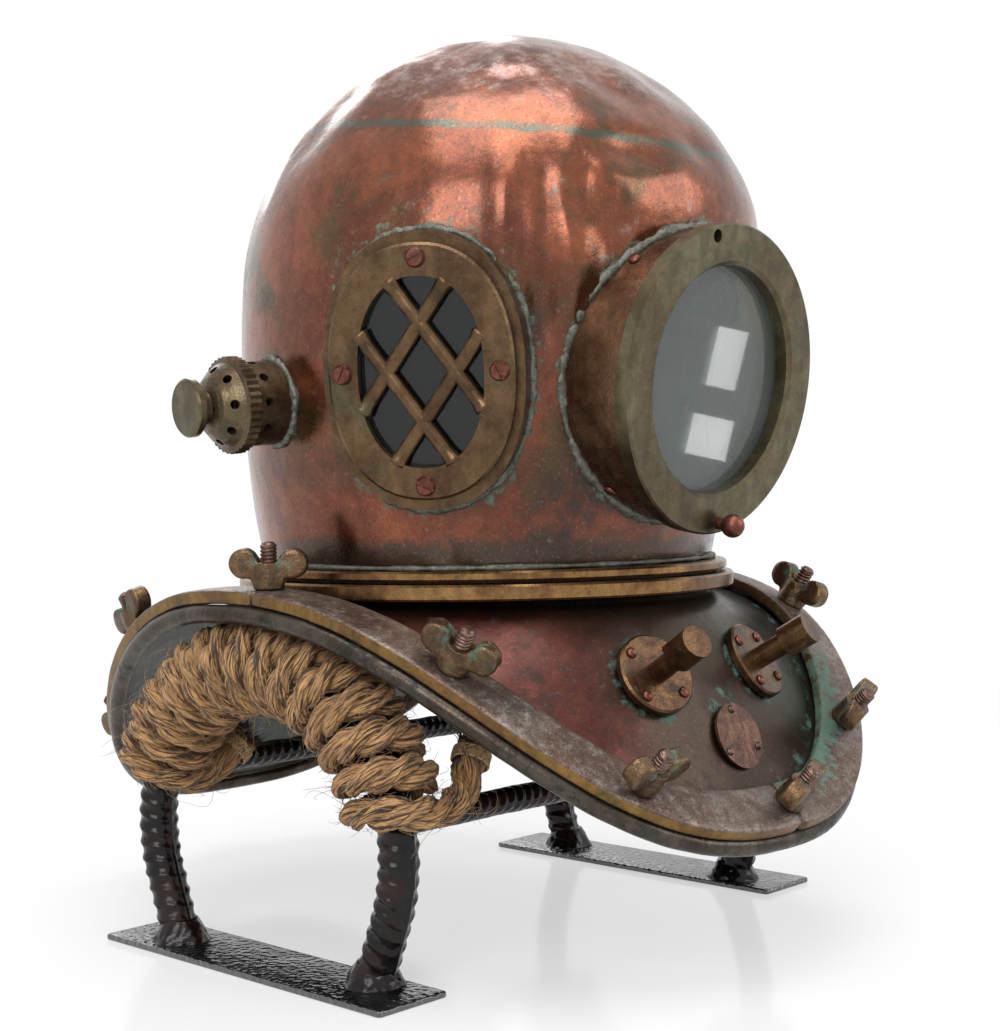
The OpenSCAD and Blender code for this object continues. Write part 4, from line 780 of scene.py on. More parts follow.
# Valve springs: drawn steel wire.
SPRING_STEEL = PlainStuff("spring_wire", "8a8a86", "6e6e6a", 0.8, 0.35, 1.0)


# The camera, the light and the floor


@dataclass(frozen=True)
class Lamp:
    """A soft lamp: its middle, its width and its height in metres, and its power in watts.

    It is square where no height is given.
    """

    name: str
    place: tuple[float, float, float]
    width: float
    watts: float
    height: float = 0.0

    def build(self, aim: tuple[float, float, float]) -> None:
        """Adds the lamp, facing a place given in metres."""
        data = bpy.data.lights.new(self.name, "AREA")
        data.size = self.width
        data.energy = self.watts
        if self.height:
            data.shape = "RECTANGLE"
            data.size_y = self.height
        lamp = bpy.data.objects.new(self.name, data)
        lamp.rotation_mode = "QUATERNION"
        lamp.rotation_quaternion = (Vector(self.place) - Vector(aim)).to_track_quat("Z", "Y")
        lamp.location = self.place
        lamp.visible_camera = False
        bpy.context.scene.collection.objects.link(lamp)


@dataclass(frozen=True)
class Studio:
    """Camera where the photograph was taken from, soft lamps, and a pale floor.

    Lengths are millimetres and angles degrees, but what belongs to the lamps is in metres. The two pane lamps
    are the window that shines back from the front glass.
    """

    target: tuple[float, float, float] = (22.8, 0.0, 212.9)
    distance: float = 947.5
    azimuth: float = -46.92
    elevation: float = 0.88
    roll: float = -0.83
    focal_px: float = 1723.2
    long_side_px: float = 1031.0
    sensor_mm: float = 36.0
    even_light: float = 0.42
    floor_z: float = -0.05
    floor_r: float = 6000.0
    floor_sides: int = 64
    lamp_aim: tuple[float, float, float] = (0.0, 0.0, 0.25)
    lamps: tuple[Lamp, ...] = (
        Lamp("top", (-0.3, -0.3, 1.7), 1.1, 16.0), Lamp("key", (-1.5, -0.9, 1.1), 1.0, 16.0),
        Lamp("fill", (0.9, -1.5, 0.9), 1.0, 9.0), Lamp("back", (0.8, 1.4, 1.3), 1.0, 10.0),
        Lamp("upper_pane", (1.257, -0.977, 0.14), 0.04, 0.055, 0.08),
        Lamp("lower_pane", (1.238, -0.962, 0.035), 0.055, 0.055, 0.055))

    def camera(self) -> None:
        """Sets the camera: its back points away from the target, and its right lies level before the roll."""
        azimuth, elevation, roll = np.radians([self.azimuth, self.elevation, self.roll])
        level = np.cos(elevation)
        back = np.array([np.sin(azimuth) * level, -np.cos(azimuth) * level, np.sin(elevation)])
        right = unit(np.cross(UP, back))
        up = np.cross(back, right)
        axes = [np.cos(roll) * right + np.sin(roll) * up, np.cos(roll) * up - np.sin(roll) * right, back]
        place = np.eye(4)
        place[:3, :3] = np.array(axes).T
        place[:3, 3] = (np.array(self.target) + self.distance * back) * MM
        data = bpy.data.cameras.new("camera")
        data.sensor_width = self.sensor_mm
        data.lens = self.focal_px / self.long_side_px * self.sensor_mm
        data.clip_start = 0.05
        data.clip_end = 50.0
        camera = bpy.data.objects.new("camera", data)
        camera.matrix_world = Matrix(place.tolist())
        bpy.context.scene.collection.objects.link(camera)
        bpy.context.scene.camera = camera

    def world(self) -> None:
        """White background for camera, mirror and glass rays, and a dim even light for the rest."""
        world = bpy.data.worlds.new("studio")
        world.use_nodes = True
        tree = world.node_tree
        tree.nodes.clear()
        n = Nodes(tree)
        path = n.add("LightPath").node.outputs
        seen = n.maths("MAXIMUM", path["Is Glossy Ray"], path["Is Transmission Ray"])
        seen = n.maths("MAXIMUM", seen, path["Is Camera Ray"])
        light = n.add("MapRange", {0: seen, 3: self.even_light, 4: 1.0})
        background = n.add("Background", {"Color": (1.0, 1.0, 1.0, 1.0), "Strength": light})
        n.add("OutputWorld", {"Surface": background})
        bpy.context.scene.world = world

    def floor(self) -> None:
        """A wide round floor of pale acrylic that fades into the white of the background."""
        sides = self.floor_sides
        radius = np.geomspace(80.0, self.floor_r, 24)
        grid = lathe_grid(np.stack([radius, np.full(len(radius), self.floor_z)], 1), sides)
        centre = len(grid) * sides
        fan = [[centre, i, (i + 1) % sides] for i in range(sides)]
        faces = [*grid_faces(len(grid), sides).tolist(), *fan]
        points = np.concatenate([grid.reshape(-1, 3), [[0.0, 0.0, self.floor_z]]])
        floor = make_mesh("floor", points, faces, [PaleFloor("pale_acrylic_floor")])
        if floor.data.polygons[0].normal.z < 0:
            floor.data.flip_normals()

    def build(self) -> None:
        """Builds the camera, the lamps, the background and the floor."""
        self.camera()
        bpy.context.scene.view_settings.view_transform = "Standard"
        for lamp in self.lamps:
            lamp.build(self.lamp_aim)
        self.world()
        self.floor()


@dataclass(frozen=True)
class PaleFloor(Finish):
    """White acrylic sheet: a soft reflection under the stand, and plain white further out."""

    def build(self, n: Nodes) -> Socket:
        """Adds glossy white near the stand, mixed by distance into a plain white glow for camera rays."""
        far = n.add("VectorMath", {0: n.add("TexCoord", out="Object")}, "Value", operation="LENGTH")
        path = n.add("LightPath").node.outputs
        sheet = n.add("BsdfPrincipled", {"Base Color": linear("f4f5f6"), "Roughness": 0.12, "IOR": 1.45})
        glow = n.add("Emission", {"Color": (1.0, 1.0, 1.0, 1.0), "Strength": 1.0})
        seen = n.maths("MAXIMUM", path["Is Camera Ray"], path["Is Glossy Ray"])
        share = n.fade(far, 0.25, 1.1, least=0.55)
        share = n.maths("MULTIPLY", share, seen)
        return n.add("MixShader", {0: share, 1: sheet, 2: glow})


# The stand


@dataclass
class Stand:
    """Two foot plates, two arches of ribbed bar with welded feet, and two joining bars."""

    plate_span: float = 293.0
    plate_len: float = 205.0
    plate_w: float = 42.0
    plate_t: float = 3.0
    bar_d: float = 19.0
    arch_span: float = 289.0
    arch_r: float = 82.6
    arch_h: float = 145.2
    arch_y: float = -3.3
    arch_toe: float = 4.0
    leg_lean: float = 20.0
    cross_d: float = 12.0
    cross_z: tuple[float, float] = (78.0, 88.0)
    weld_r: float = 14.0
    weld_h: float = 6.0
    rib_w: float = 1.7
    long_rib_w: float = 1.3
    rib_slant: float = 0.36
    plate_corner: float = 2.0

    @property
    def arch_z(self) -> float:
        """Height of the middle of the arches' bend."""
        return self.arch_h - self.arch_r

    @property
    def leg(self) -> float:
        """Length of a straight leg from the bend to the plate's top."""
        lean = np.radians(self.leg_lean)
        return (self.arch_z - self.plate_t - self.arch_r * np.sin(lean)) / np.cos(lean)

    def arch_at(self, degrees: Array) -> Array:
        """Point of the bend's middle line at an angle from the rear: centre + radius (cos, sin)."""
        angle = np.radians(degrees)
        y = self.arch_y + self.arch_r * np.cos(angle)
        return np.stack([0 * angle, y, self.arch_z + self.arch_r * np.sin(angle)], -1)

    def on_arch(self, side: int) -> Array:
        """Frame of an arch, -1 the wearer's right and +1 the left."""
        return shift(side * self.arch_span / 2, 0, 0) @ turn("Z", -side * self.arch_toe)

    def bar_path(self) -> Array:
        """Middle line of an arch from foot to foot at about 0.8 mm steps: leg, bend, leg."""
        lean = self.leg_lean
        back, down = -np.sin(np.radians(lean)), -np.cos(np.radians(lean))
        steps = np.linspace(self.leg - 1.0, 0.8, 44)[:, None]
        rear = self.arch_at(np.array([-lean])) + steps * np.array([0, back, down])
        front = self.arch_at(np.array([180 + lean])) + steps[::-1] * np.array([0, -back, down])
        return np.concatenate([rear, self.arch_at(np.linspace(-lean, 180 + lean, 400)), front])

    def ribbed(self, path: Array, radius: float, hint: Array, sides: int, pitch: float, height: float,
               seed: int) -> Array:
        """Rolled bar: a round core, two long ribs, and slanted cross ribs that fade towards the long ones.

        The radius is the core, plus height times a narrow hump of (length / pitch + slant × angle) times
        the sine of the angle, plus the lacquer's noise.
        """
        length = run_length(path)[:, None]
        angle = round_angles(sides)[None]
        half = np.where(angle < np.pi, 1.0, -1.0)
        phase = (length / pitch + half * self.rib_slant * angle + 0.5 * (half > 0)) % 1.0
        cross = np.exp(-((np.abs(phase - 0.5) * pitch / self.rib_w) ** 2)) * np.abs(np.sin(angle)) ** 0.7
        off = np.abs((angle + np.pi / 2) % np.pi - np.pi / 2)
        long_rib = np.exp(-((off * radius / self.long_rib_w) ** 2))
        size = radius - height * 0.55 + height * np.maximum(cross, 0.8 * long_rib)
        grid = tube_grid(path, size, hint, sides)
        rough = 0.16 * lattice_noise(grid, 3.2, seed) + 0.22 * lattice_noise(grid, 9.0, seed + 5)
        return tube_grid(path, size + rough, hint, sides)

    def arch(self, side: int, node: str) -> None:
        """Builds one ribbed arch with the blobs of weld at its feet."""
        path = self.bar_path()
        middle = self.arch_at(np.array([90.0]))[0] - np.array([0, 0, self.arch_r])
        hint = unit(path - middle + np.array([1e-3, 0, 0]))
        bar = self.ribbed(path, self.bar_d / 2, hint, sides=56, pitch=7.6, height=1.15, seed=3 + side)
        form = Surface()
        form.add_grid(carry(self.on_arch(side), bar))
        for end in (path[0], path[-1]):
            weld = self.weld(np.array([0.0, end[1], self.plate_t]), int(end[1]) + side)
            form.add_grid(carry(self.on_arch(side), weld))
        piece = form.piece(node + "_ribbed", [BAR_LACQUER])
        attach(piece, "stand")
        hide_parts(node)

    def weld(self, foot: Array, seed: int) -> Array:
        """A bead of weld round a leg's foot: a low dome whose edge wanders by lattice noise."""
        share = np.linspace(0.0, 1.0, 22)
        radius = mix(self.weld_r + 1.0, self.bar_d / 2 - 1.0, share ** 0.8) + 1.2 * np.sin(np.pi * share)
        grid = lathe_grid(np.stack([radius, (self.weld_h + 5.0) * share ** 1.25], 1), 72)
        lump = lattice_noise(grid + foot, 7.0, seed) + 0.5 * lattice_noise(grid + foot, 2.8, seed + 1)
        outward = grid / np.maximum(np.linalg.norm(grid[..., :2], axis=-1, keepdims=True), 1e-6) * [1, 1, 0]
        move = outward * (1.3 * lump - 0.6)[..., None]
        return grid + foot + move * (1.0 - 0.5 * share[:, None, None])

    def crossbars(self) -> None:
        """Builds the two ribbed joining bars, from arch to arch."""
        form = Surface()
        for height, front in zip(self.cross_z, (True, False)):
            angle = np.degrees(np.arcsin((height - self.arch_z) / self.arch_r))
            at = self.arch_at(np.array([180 - angle if front else angle]))[0]
            toe = np.radians(self.arch_toe)
            half = self.arch_span / 2 + at[1] * np.sin(toe) - self.bar_d / 2
            x = np.linspace(-half, half, 400)
            path = np.stack([x, np.full_like(x, at[1] * np.cos(toe)), np.full_like(x, at[2])], 1)
            hint = np.broadcast_to([0.0, 0.3, 1.0], path.shape)
            form.add_grid(self.ribbed(path, self.cross_d / 2, hint, sides=40, pitch=6.0, height=1.1,
                                      seed=9 + int(front)))
        piece = form.piece("joining_bars_ribbed", [BAR_LACQUER])
        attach(piece, "stand")
        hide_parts("stand_crossbars")

    def plates(self) -> None:
        """Builds the two foot plates: sheared strips with rounded corners and edges, a little uneven.

        The edge is a list of (inset, height) pairs.
        """
        form = Surface()
        edge = np.array([[-0.9, 0.0], [-0.25, 0.25], [0.0, 0.8], [0.0, 2.2], [-0.25, 2.75], [-0.9, 3.0]])
        for side in (-1, 1):
            middle = side * self.plate_span / 2
            grid = np.array([self.plate_outline(inset) + [middle, 0.0, height] for inset, height in edge])
            form.add_grid(grid + 0.12 * lattice_noise(grid, 9.0, 5)[..., None] * [1, 1, 0])
        piece = form.piece("foot_plates_painted", [PLATE_LACQUER])
        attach(piece, "stand")
        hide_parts("foot_plates")

    def plate_outline(self, inset: float) -> Array:
        """Outline of a plate: a rectangle with rounded corners, moved inwards by the inset."""
        sides = 64
        half = np.array([self.plate_w / 2, self.plate_len / 2]) + inset
        angle = np.radians(np.linspace(0, 360, sides, endpoint=False) + 2.8)
        ray = np.stack([np.cos(angle), np.sin(angle)], 1)
        ring = np.sign(ray) * (half - self.plate_corner) + self.plate_corner * ray
        return np.concatenate([ring, np.zeros((sides, 1))], 1)

    def build(self) -> None:
        """Builds every piece of the stand."""
        self.plates()
        self.arch(-1, "stand_arch_right")
        self.arch(1, "stand_arch_left")
        self.crossbars()
        log.info("stand: two plates, two ribbed arches, two joining bars")


class RopeEnd(Enum):
    """The two ends of a rope winding."""

    REAR = "rear"
    FRONT = "front"


@dataclass
class RopeWinding:
    """Three-strand manila rope wound round an arch, with a whipped and frayed tail at each end."""

    stand: Stand
    rope_t: float = 15.0
    rope_w: float = 16.0
    turns: float = 13.5
    gap: float = 0.8
    rest: float = 0.5
    front_run: float = 14.0
    front_bend: float = 55.0
    rear_run: float = 6.0
    rear_bend: float = 40.0
    bend_r: float = 20.0
    end: float = 20.0
    whip_len: float = 7.0
    whip_end: float = 2.5
    whip_t: float = 1.0
    strand_share: float = 0.52
    lay_mm: float = 46.0
    strand_girth: float = 26.0
    yarns: int = 7
    yarn_twist: float = 1.4
    fray_r: float = 6.8
    whip_turns: int = 8

    def __post_init__(self) -> None:
        """Works out where the winding starts and stops on the arch."""
        s = self.stand
        self.rho = s.bar_d / 2 + self.rest + self.rope_t / 2
        angles = np.degrees(np.arcsin((np.array(s.cross_z) - s.arch_z) / s.arch_r))
        room = np.degrees((s.cross_d / 2 + REST_GAP + self.rope_w / 2) / s.arch_r)
        front, rear = 180 - angles[0], angles[1]
        self.pitch = (front - rear - 2 * room) / (self.turns - 1.5)
        self.start = rear + room - 0.75 * self.pitch
        self.stop = self.start + self.turns * self.pitch

    def wound(self, turns: Array) -> tuple[Array, Array, Array, Array, Array]:
        """The rope on the bar, at counts of turns.

        Args:
            turns: counts of turns from the rear end of the winding.

        Returns:
            Middle line, direction away from the bar, direction along it, half width and half thickness.
        """
        s = self.stand
        t = np.radians(self.start + self.pitch * turns)[:, None]
        psi = np.radians(180 + 360 * turns)[:, None]
        e1 = np.concatenate([0 * t, np.cos(t), np.sin(t)], 1)
        away = e1 * np.cos(psi) + np.concatenate([np.sin(psi), 0 * psi, 0 * psi], 1)
        half = (np.radians(self.pitch) * (s.arch_r + self.rho * np.cos(psi[:, 0])) - self.gap) / 2
        fade = ease(np.minimum(turns, self.turns - turns) * 4)
        wide = np.minimum(half, mix(self.rope_w / 2, half, fade))
        along = np.concatenate([0 * t, -np.sin(t), np.cos(t)], 1)
        path = s.arch_at(self.start + self.pitch * turns) + away * self.rho
        return path, away, along, wide, np.full(len(turns), self.rope_t / 2)

    def tail_place(self, run: float, bend: float, reach: Array) -> Array:
        """Place on a tail, sideways and along, and its turn in degrees: straight, an arc, then straight."""
        arc = self.bend_r * np.radians(bend)
        turned = np.clip((reach - run) / self.bend_r, 0.0, np.radians(bend))
        past = np.maximum(reach - run - arc, 0.0)
        x = np.minimum(reach, run) + self.bend_r * np.sin(turned) + past * np.cos(np.radians(bend))
        y = self.bend_r * (1 - np.cos(turned)) + past * np.sin(np.radians(bend))
        return np.stack([x, y, turned], 1)

    def tail(self, end: RopeEnd, reach: Array) -> tuple[Array, Array, Array, Array, Array]:
        """The same five values as wound, for a tail.

        Args:
            end: which tail.
            reach: lengths from the winding in millimetres.

        Returns:
            Middle line, direction away from the bar, direction across, half width and half thickness.
        """
        front = end is RopeEnd.FRONT
        angle = self.stop if front else self.start
        t = np.radians(angle)
        flip = -1.0 if front else 1.0
        q = self.tail_place(*self.tail_run(end), reach)
        e1, along = np.array([0, np.cos(t), np.sin(t)]), np.array([0, -np.sin(t), np.cos(t)])
        path = self.stand.arch_at(angle) - e1 * self.rho * flip + q[:, :1] * [1, 0, 0]
        path = path + q[:, 1:2] * along * flip
        across = along * np.cos(q[:, 2:]) - np.sin(q[:, 2:]) * np.array([flip, 0, 0])
        wide = np.full(len(reach), self.rope_w / 2)
        thick = mix(self.rope_t / 2, self.rope_w / 2, ease(reach / self.rope_w))
        return path, np.broadcast_to(-e1 * flip, path.shape), across, wide, thick

    def tail_run(self, end: RopeEnd) -> tuple[float, float]:
        """Length of a tail's first straight, and its bend in degrees."""
        if end is RopeEnd.FRONT:
            return self.front_run, self.front_bend
        return self.rear_run, self.rear_bend

    def tail_length(self, end: RopeEnd) -> float:
        """Length of a tail from the winding to its cut end."""
        run, bend = self.tail_run(end)
        return run + self.bend_r * np.radians(bend) + self.end

    def whole(self) -> list[Array]:
        """The five values of the whole rope, from the rear end to the front end, about 1.3 mm a step."""
        step = 1.3
        rear, front = self.tail_length(RopeEnd.REAR), self.tail_length(RopeEnd.FRONT)
        rows = [self.tail(RopeEnd.REAR, np.linspace(rear, step, int(rear / step))),
                self.wound(np.linspace(0, self.turns, 980)),
                self.tail(RopeEnd.FRONT, np.linspace(step, front, int(front / step)))]
        return [np.concatenate(part) for part in zip(*rows)]

    def side_frame(self, side: int) -> Array:
        """Frame of the right arch, mirrored for the left."""
        return np.diag([-side, 1.0, 1.0, 1.0]) @ self.stand.on_arch(-1)

    def rope(self, side: int, node: str, seed: int) -> None:
        """Builds the three strands: each circles the rope's middle once a lay, flattened as the rope is."""
        path, away, along, wide, thick = self.whole()
        length = run_length(path)
        ring = round_angles(30)
        form = Surface()
        wander = lattice_noise(np.stack([length, 0 * length, 0 * length], 1), 31.0, seed) * 0.35
        for strand in range(3):
            lay = (2 * np.pi * (length / self.lay_mm + strand / 3) + wander)[:, None]
            row = np.stack([length, 0 * length + 50 * strand, 0 * length], 1)
            swell = self.strand_share * (1.0 + 0.06 * lattice_noise(row, 14.0, seed))[:, None]
            a = (1 - self.strand_share) * np.cos(lay) + swell * np.cos(ring + lay)
            b = (1 - self.strand_share) * np.sin(lay) + swell * np.sin(ring + lay)
            grid = path[:, None] + a[..., None] * (along * wide[:, None])[:, None]
            grid = grid + b[..., None] * (away * thick[:, None])[:, None]
            u = np.broadcast_to(length[:, None], a.shape)
            v = np.broadcast_to(ring / (2 * np.pi) * self.strand_girth, a.shape)
            groove = ring * self.yarns - u / self.lay_mm * 2 * np.pi * self.yarn_twist
            yarn = np.abs(np.sin(groove / 2 + 1.5 * lattice_noise(grid, 9.0, seed))) * 2 - 1
            middle = grid.mean(1, keepdims=True)
            puff = 0.3 * yarn + 0.4 * lattice_noise(grid, 3.4, seed + strand)
            grid = grid + unit(grid - middle) * (puff - 0.2)[..., None]
            form.add_grid(carry(self.side_frame(side), grid), uv=np.stack([u, v], -1))
        piece = form.piece(node + "_laid", [MANILA], with_uv=True)
        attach(piece, "stand")
        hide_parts(node)

    def add_fibre(self, form: Surface, side: int, line: Array, radii: tuple[float, float], hint: Array,
                  size: float, skin: float) -> None:
        """Adds a three-sided fibre that tapers along a line.

        Args:
            form: what it is added to.
            side: the arch, -1 the wearer's right and +1 the left.
            line: points of its middle, on the right arch.
            radii: its radius at the foot and at the tip.
            hint: direction that its first side faces.
            size: its length on the pattern.
            skin: width of a side on the pattern.
        """
        radius = np.linspace(*radii, len(line))[:, None]
        grid = tube_grid(line, radius, np.broadcast_to(hint, line.shape), 3)
        reach = np.linspace(0, 1, len(line))[:, None] * size
        uv = np.stack(np.broadcast_arrays(reach, np.arange(3) * skin), -1)
        form.add_grid(carry(self.side_frame(side), grid), uv=uv)

    def hairs(self, side: int, node: str, seed: int, count: int = 2100) -> None:
        """Builds loose fibres that stand off the winding: thin bent threads with three sides.

        Each starts on the rope's skin, runs forwards along the rope, and lifts and curls off it.

        Args:
            side: the arch, -1 the wearer's right and +1 the left.
            node: the winding's node.
            seed: a different whole number gives different fibres.
            count: how many are tried; those that face the bar are left out.
        """
        random = np.random.default_rng(seed)
        path, away, along, wide, thick = self.whole()
        pick = random.integers(10, len(path) - 10, count)
        turned = random.uniform(0, 2 * np.pi, count)
        out = unit(np.cos(turned)[:, None] * along[pick] + np.sin(turned)[:, None] * away[pick])
        foot = (path[pick] + (np.cos(turned) * wide[pick] * 0.93)[:, None] * along[pick]
                + (np.sin(turned) * thick[pick] * 0.93)[:, None] * away[pick])
        ahead = unit(path[np.minimum(pick + 4, len(path) - 1)] - path[pick])
        ahead = ahead * np.where(random.random(count) > 0.5, 1, -1)[:, None]
        form = Surface()
        steps = np.linspace(0, 1, 6)[:, None]
        for k in np.flatnonzero((out * away[pick]).sum(-1) > -0.2):
            long_one = random.random() > 0.9
            size = random.uniform(12, 26) if long_one else random.uniform(3, 12)
            lift = random.uniform(0.12, 0.5)
            curl = unit(random.normal(size=3)) * random.uniform(0.05, 0.4)
            bow = out[k] * lift * np.sin(steps * random.uniform(1.4, 3.0))
            line = foot[k] + size * (steps * ahead[k] * 0.8 + bow + curl * steps ** 2)
            self.add_fibre(form, side, line, (0.14, 0.06), out[k] + 0.01, size, 0.4)
        piece = form.piece(node + "_loose_fibres", [STRAY_MANILA], with_uv=True)
        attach(piece, "stand")

    def frays(self, side: int, node: str, seed: int) -> None:
        """Builds the brush of dark fibres at each cut end: tapered threads that spread out of the strands."""
        random = np.random.default_rng(seed)
        form = Surface()
        steps = np.linspace(0, 1, 5)[:, None]
        for end, count, shortest, longest in ((RopeEnd.REAR, 190, 4.0, 9.0), (RopeEnd.FRONT, 330, 6.0, 15.0)):
            reach = self.tail_length(end)
            path, away, across = self.tail(end, np.array([reach - 1.0, reach - 0.3]))[:3]
            ahead = unit(path[1] - path[0])
            for _ in range(count):
                turned, radius = random.uniform(0, 2 * np.pi), np.sqrt(random.random()) * self.fray_r
                offset = radius * (np.cos(turned) * across[0] + np.sin(turned) * away[0])
                size = random.uniform(shortest, longest)
                spread = unit(offset) * random.uniform(0.05, 0.85) * radius / self.fray_r
                spread = spread + random.normal(size=3) * 0.12
                line = path[0] + offset + size * (ahead * steps + spread * steps ** 1.6)
                self.add_fibre(form, side, line, (0.4, 0.1), away[0], size, 0.5)
        piece = form.piece(node + "_frayed_ends", [FRAYED_END], with_uv=True)
        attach(piece, "stand")

    def whippings(self) -> None:
        """Builds the four twine whippings: a coil of close turns of twine round each tail."""
        form = Surface()
        rounds = np.linspace(0, self.whip_turns, self.whip_turns * 28)
        angle = 2 * np.pi * rounds[:, None]
        ring = self.rope_w / 2 + REST_GAP + self.whip_t / 2 + 0.12 * np.sin(3.1 * angle)
        climb = ((rounds / self.whip_turns - 0.5) * (self.whip_len - 1.0))[:, None]
        for side in (-1, 1):
            for end in RopeEnd:
                reach = self.tail_length(end) - self.whip_end - self.whip_len / 2
                path, away, across = self.tail(end, np.array([reach, reach + 0.5]))[:3]
                ahead = unit(path[1] - path[0])
                line = path[0] + ahead * climb + ring * (np.cos(angle) * across[0] + np.sin(angle) * away[0])
                grid = tube_grid(line, 0.56, np.broadcast_to(ahead, line.shape), 8)
                uv = np.stack(np.broadcast_arrays(rounds[:, None] * 54.0, np.arange(8) * 0.44), -1)
                form.add_grid(carry(self.side_frame(side), grid), uv=uv)
        piece = form.piece("rope_whippings_wound", [TWINE], with_uv=True)
        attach(piece, "stand")
        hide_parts("rope_whippings")

    def build(self) -> None:
        """Builds both windings and their ends."""
        for side, node in ((-1, "rope_winding_right"), (1, "rope_winding_left")):
            self.rope(side, node, 11 + side)
            self.hairs(side, node, 21 + side)
            self.frays(side, node, 31 + side)
        self.whippings()
        log.info("rope: two windings of %.1f turns, with whipped and frayed ends", self.turns)


# The corselet


@dataclass
class WingNut:
    """One cast wing nut in its own frame: Z up the stud, X along the wings and Y through the slab.

    A thick slab with two round lobes, and a barrel hub that stands out of both faces.
    """

    seed: int
    lobe_x: float = 11.6
    lobe_z: float = 11.9
    lobe_r: float = 6.9
    foot_half: float = 6.0
    shoulder_half: float = 10.5
    shoulder_z: float = 9.0
    web_z: float = 12.2
    slab_half: float = 3.1
    edge_r: float = 1.3
    hub_r: float = 7.3
    hub_top_r: float = 6.5
    hub_h: float = 12.4

    def __post_init__(self) -> None:
        """Draws how far out and how high the two lobes are: no two castings are the same."""
        random = np.random.default_rng(self.seed)
        self.reach = self.lobe_x + random.uniform(-0.3, 0.2, 2)
        self.rise = self.lobe_z + random.uniform(-0.6, 0.3, 2)

    def inside(self, points: Array) -> Array:
        """Signed field of the nut, negative inside.

        The slab's outline is the soft union of two discs and a foot, cut to the slab's thickness with a
        rounded edge. The hub is a cone blended into it, and lattice noise makes the whole lumpy.
        """
        x, y, z = points.T
        half = mix(self.foot_half, self.shoulder_half, np.clip(z / self.shoulder_z, 0, 1))
        outline = np.maximum(np.abs(x) - half, z - self.web_z)
        for sign, far, top in zip((-1, 1), self.reach, self.rise):
            outline = soft_least(outline, np.hypot(x - sign * far, (z - top) * 0.98) - self.lobe_r, 2.0)
        outline, face = outline + self.edge_r, np.abs(y) - self.slab_half
        slab = np.hypot(np.maximum(outline, 0), np.maximum(face, 0))
        slab = slab + np.minimum(np.maximum(outline, face), 0) - self.edge_r
        barrel = np.hypot(x, y) - mix(self.hub_r, self.hub_top_r, np.clip(z / 12.0, 0, 1))
        hub = np.maximum(barrel, np.abs(z - self.hub_h / 2) - self.hub_h / 2)
        lumps = 0.16 * lattice_noise(points, 3.0, self.seed)
        lumps_wide = 0.1 * lattice_noise(points, 7.0, self.seed + 1)
        return np.maximum(soft_least(slab, hub, 1.6) + lumps + lumps_wide, -z)

    def cast(self) -> tuple[Array, Array]:
        """The nut's surface, and its marks: green in the saddle and round the hub, darker at the foot."""
        grid = star_grid(self.inside, np.array([0.0, 0.0, 7.0]), 26.0, 70, 110)
        x, y, z = np.moveaxis(grid, -1, 0)
        saddle = np.exp(-((np.abs(x) - 8.0) / 4.5) ** 2) * ease((z - 8.0) / 5.0)
        patina_and_painted_light = np.zeros(grid.shape)
        patina_and_painted_light[..., 1] = 0.4 * saddle + 0.22 * np.exp(-((np.hypot(x, y) - 7.4) / 1.5) ** 2)
        patina_and_painted_light[..., 0] = 0.5 * ease((3.0 - z) / 3.0)
        return grid, patina_and_painted_light


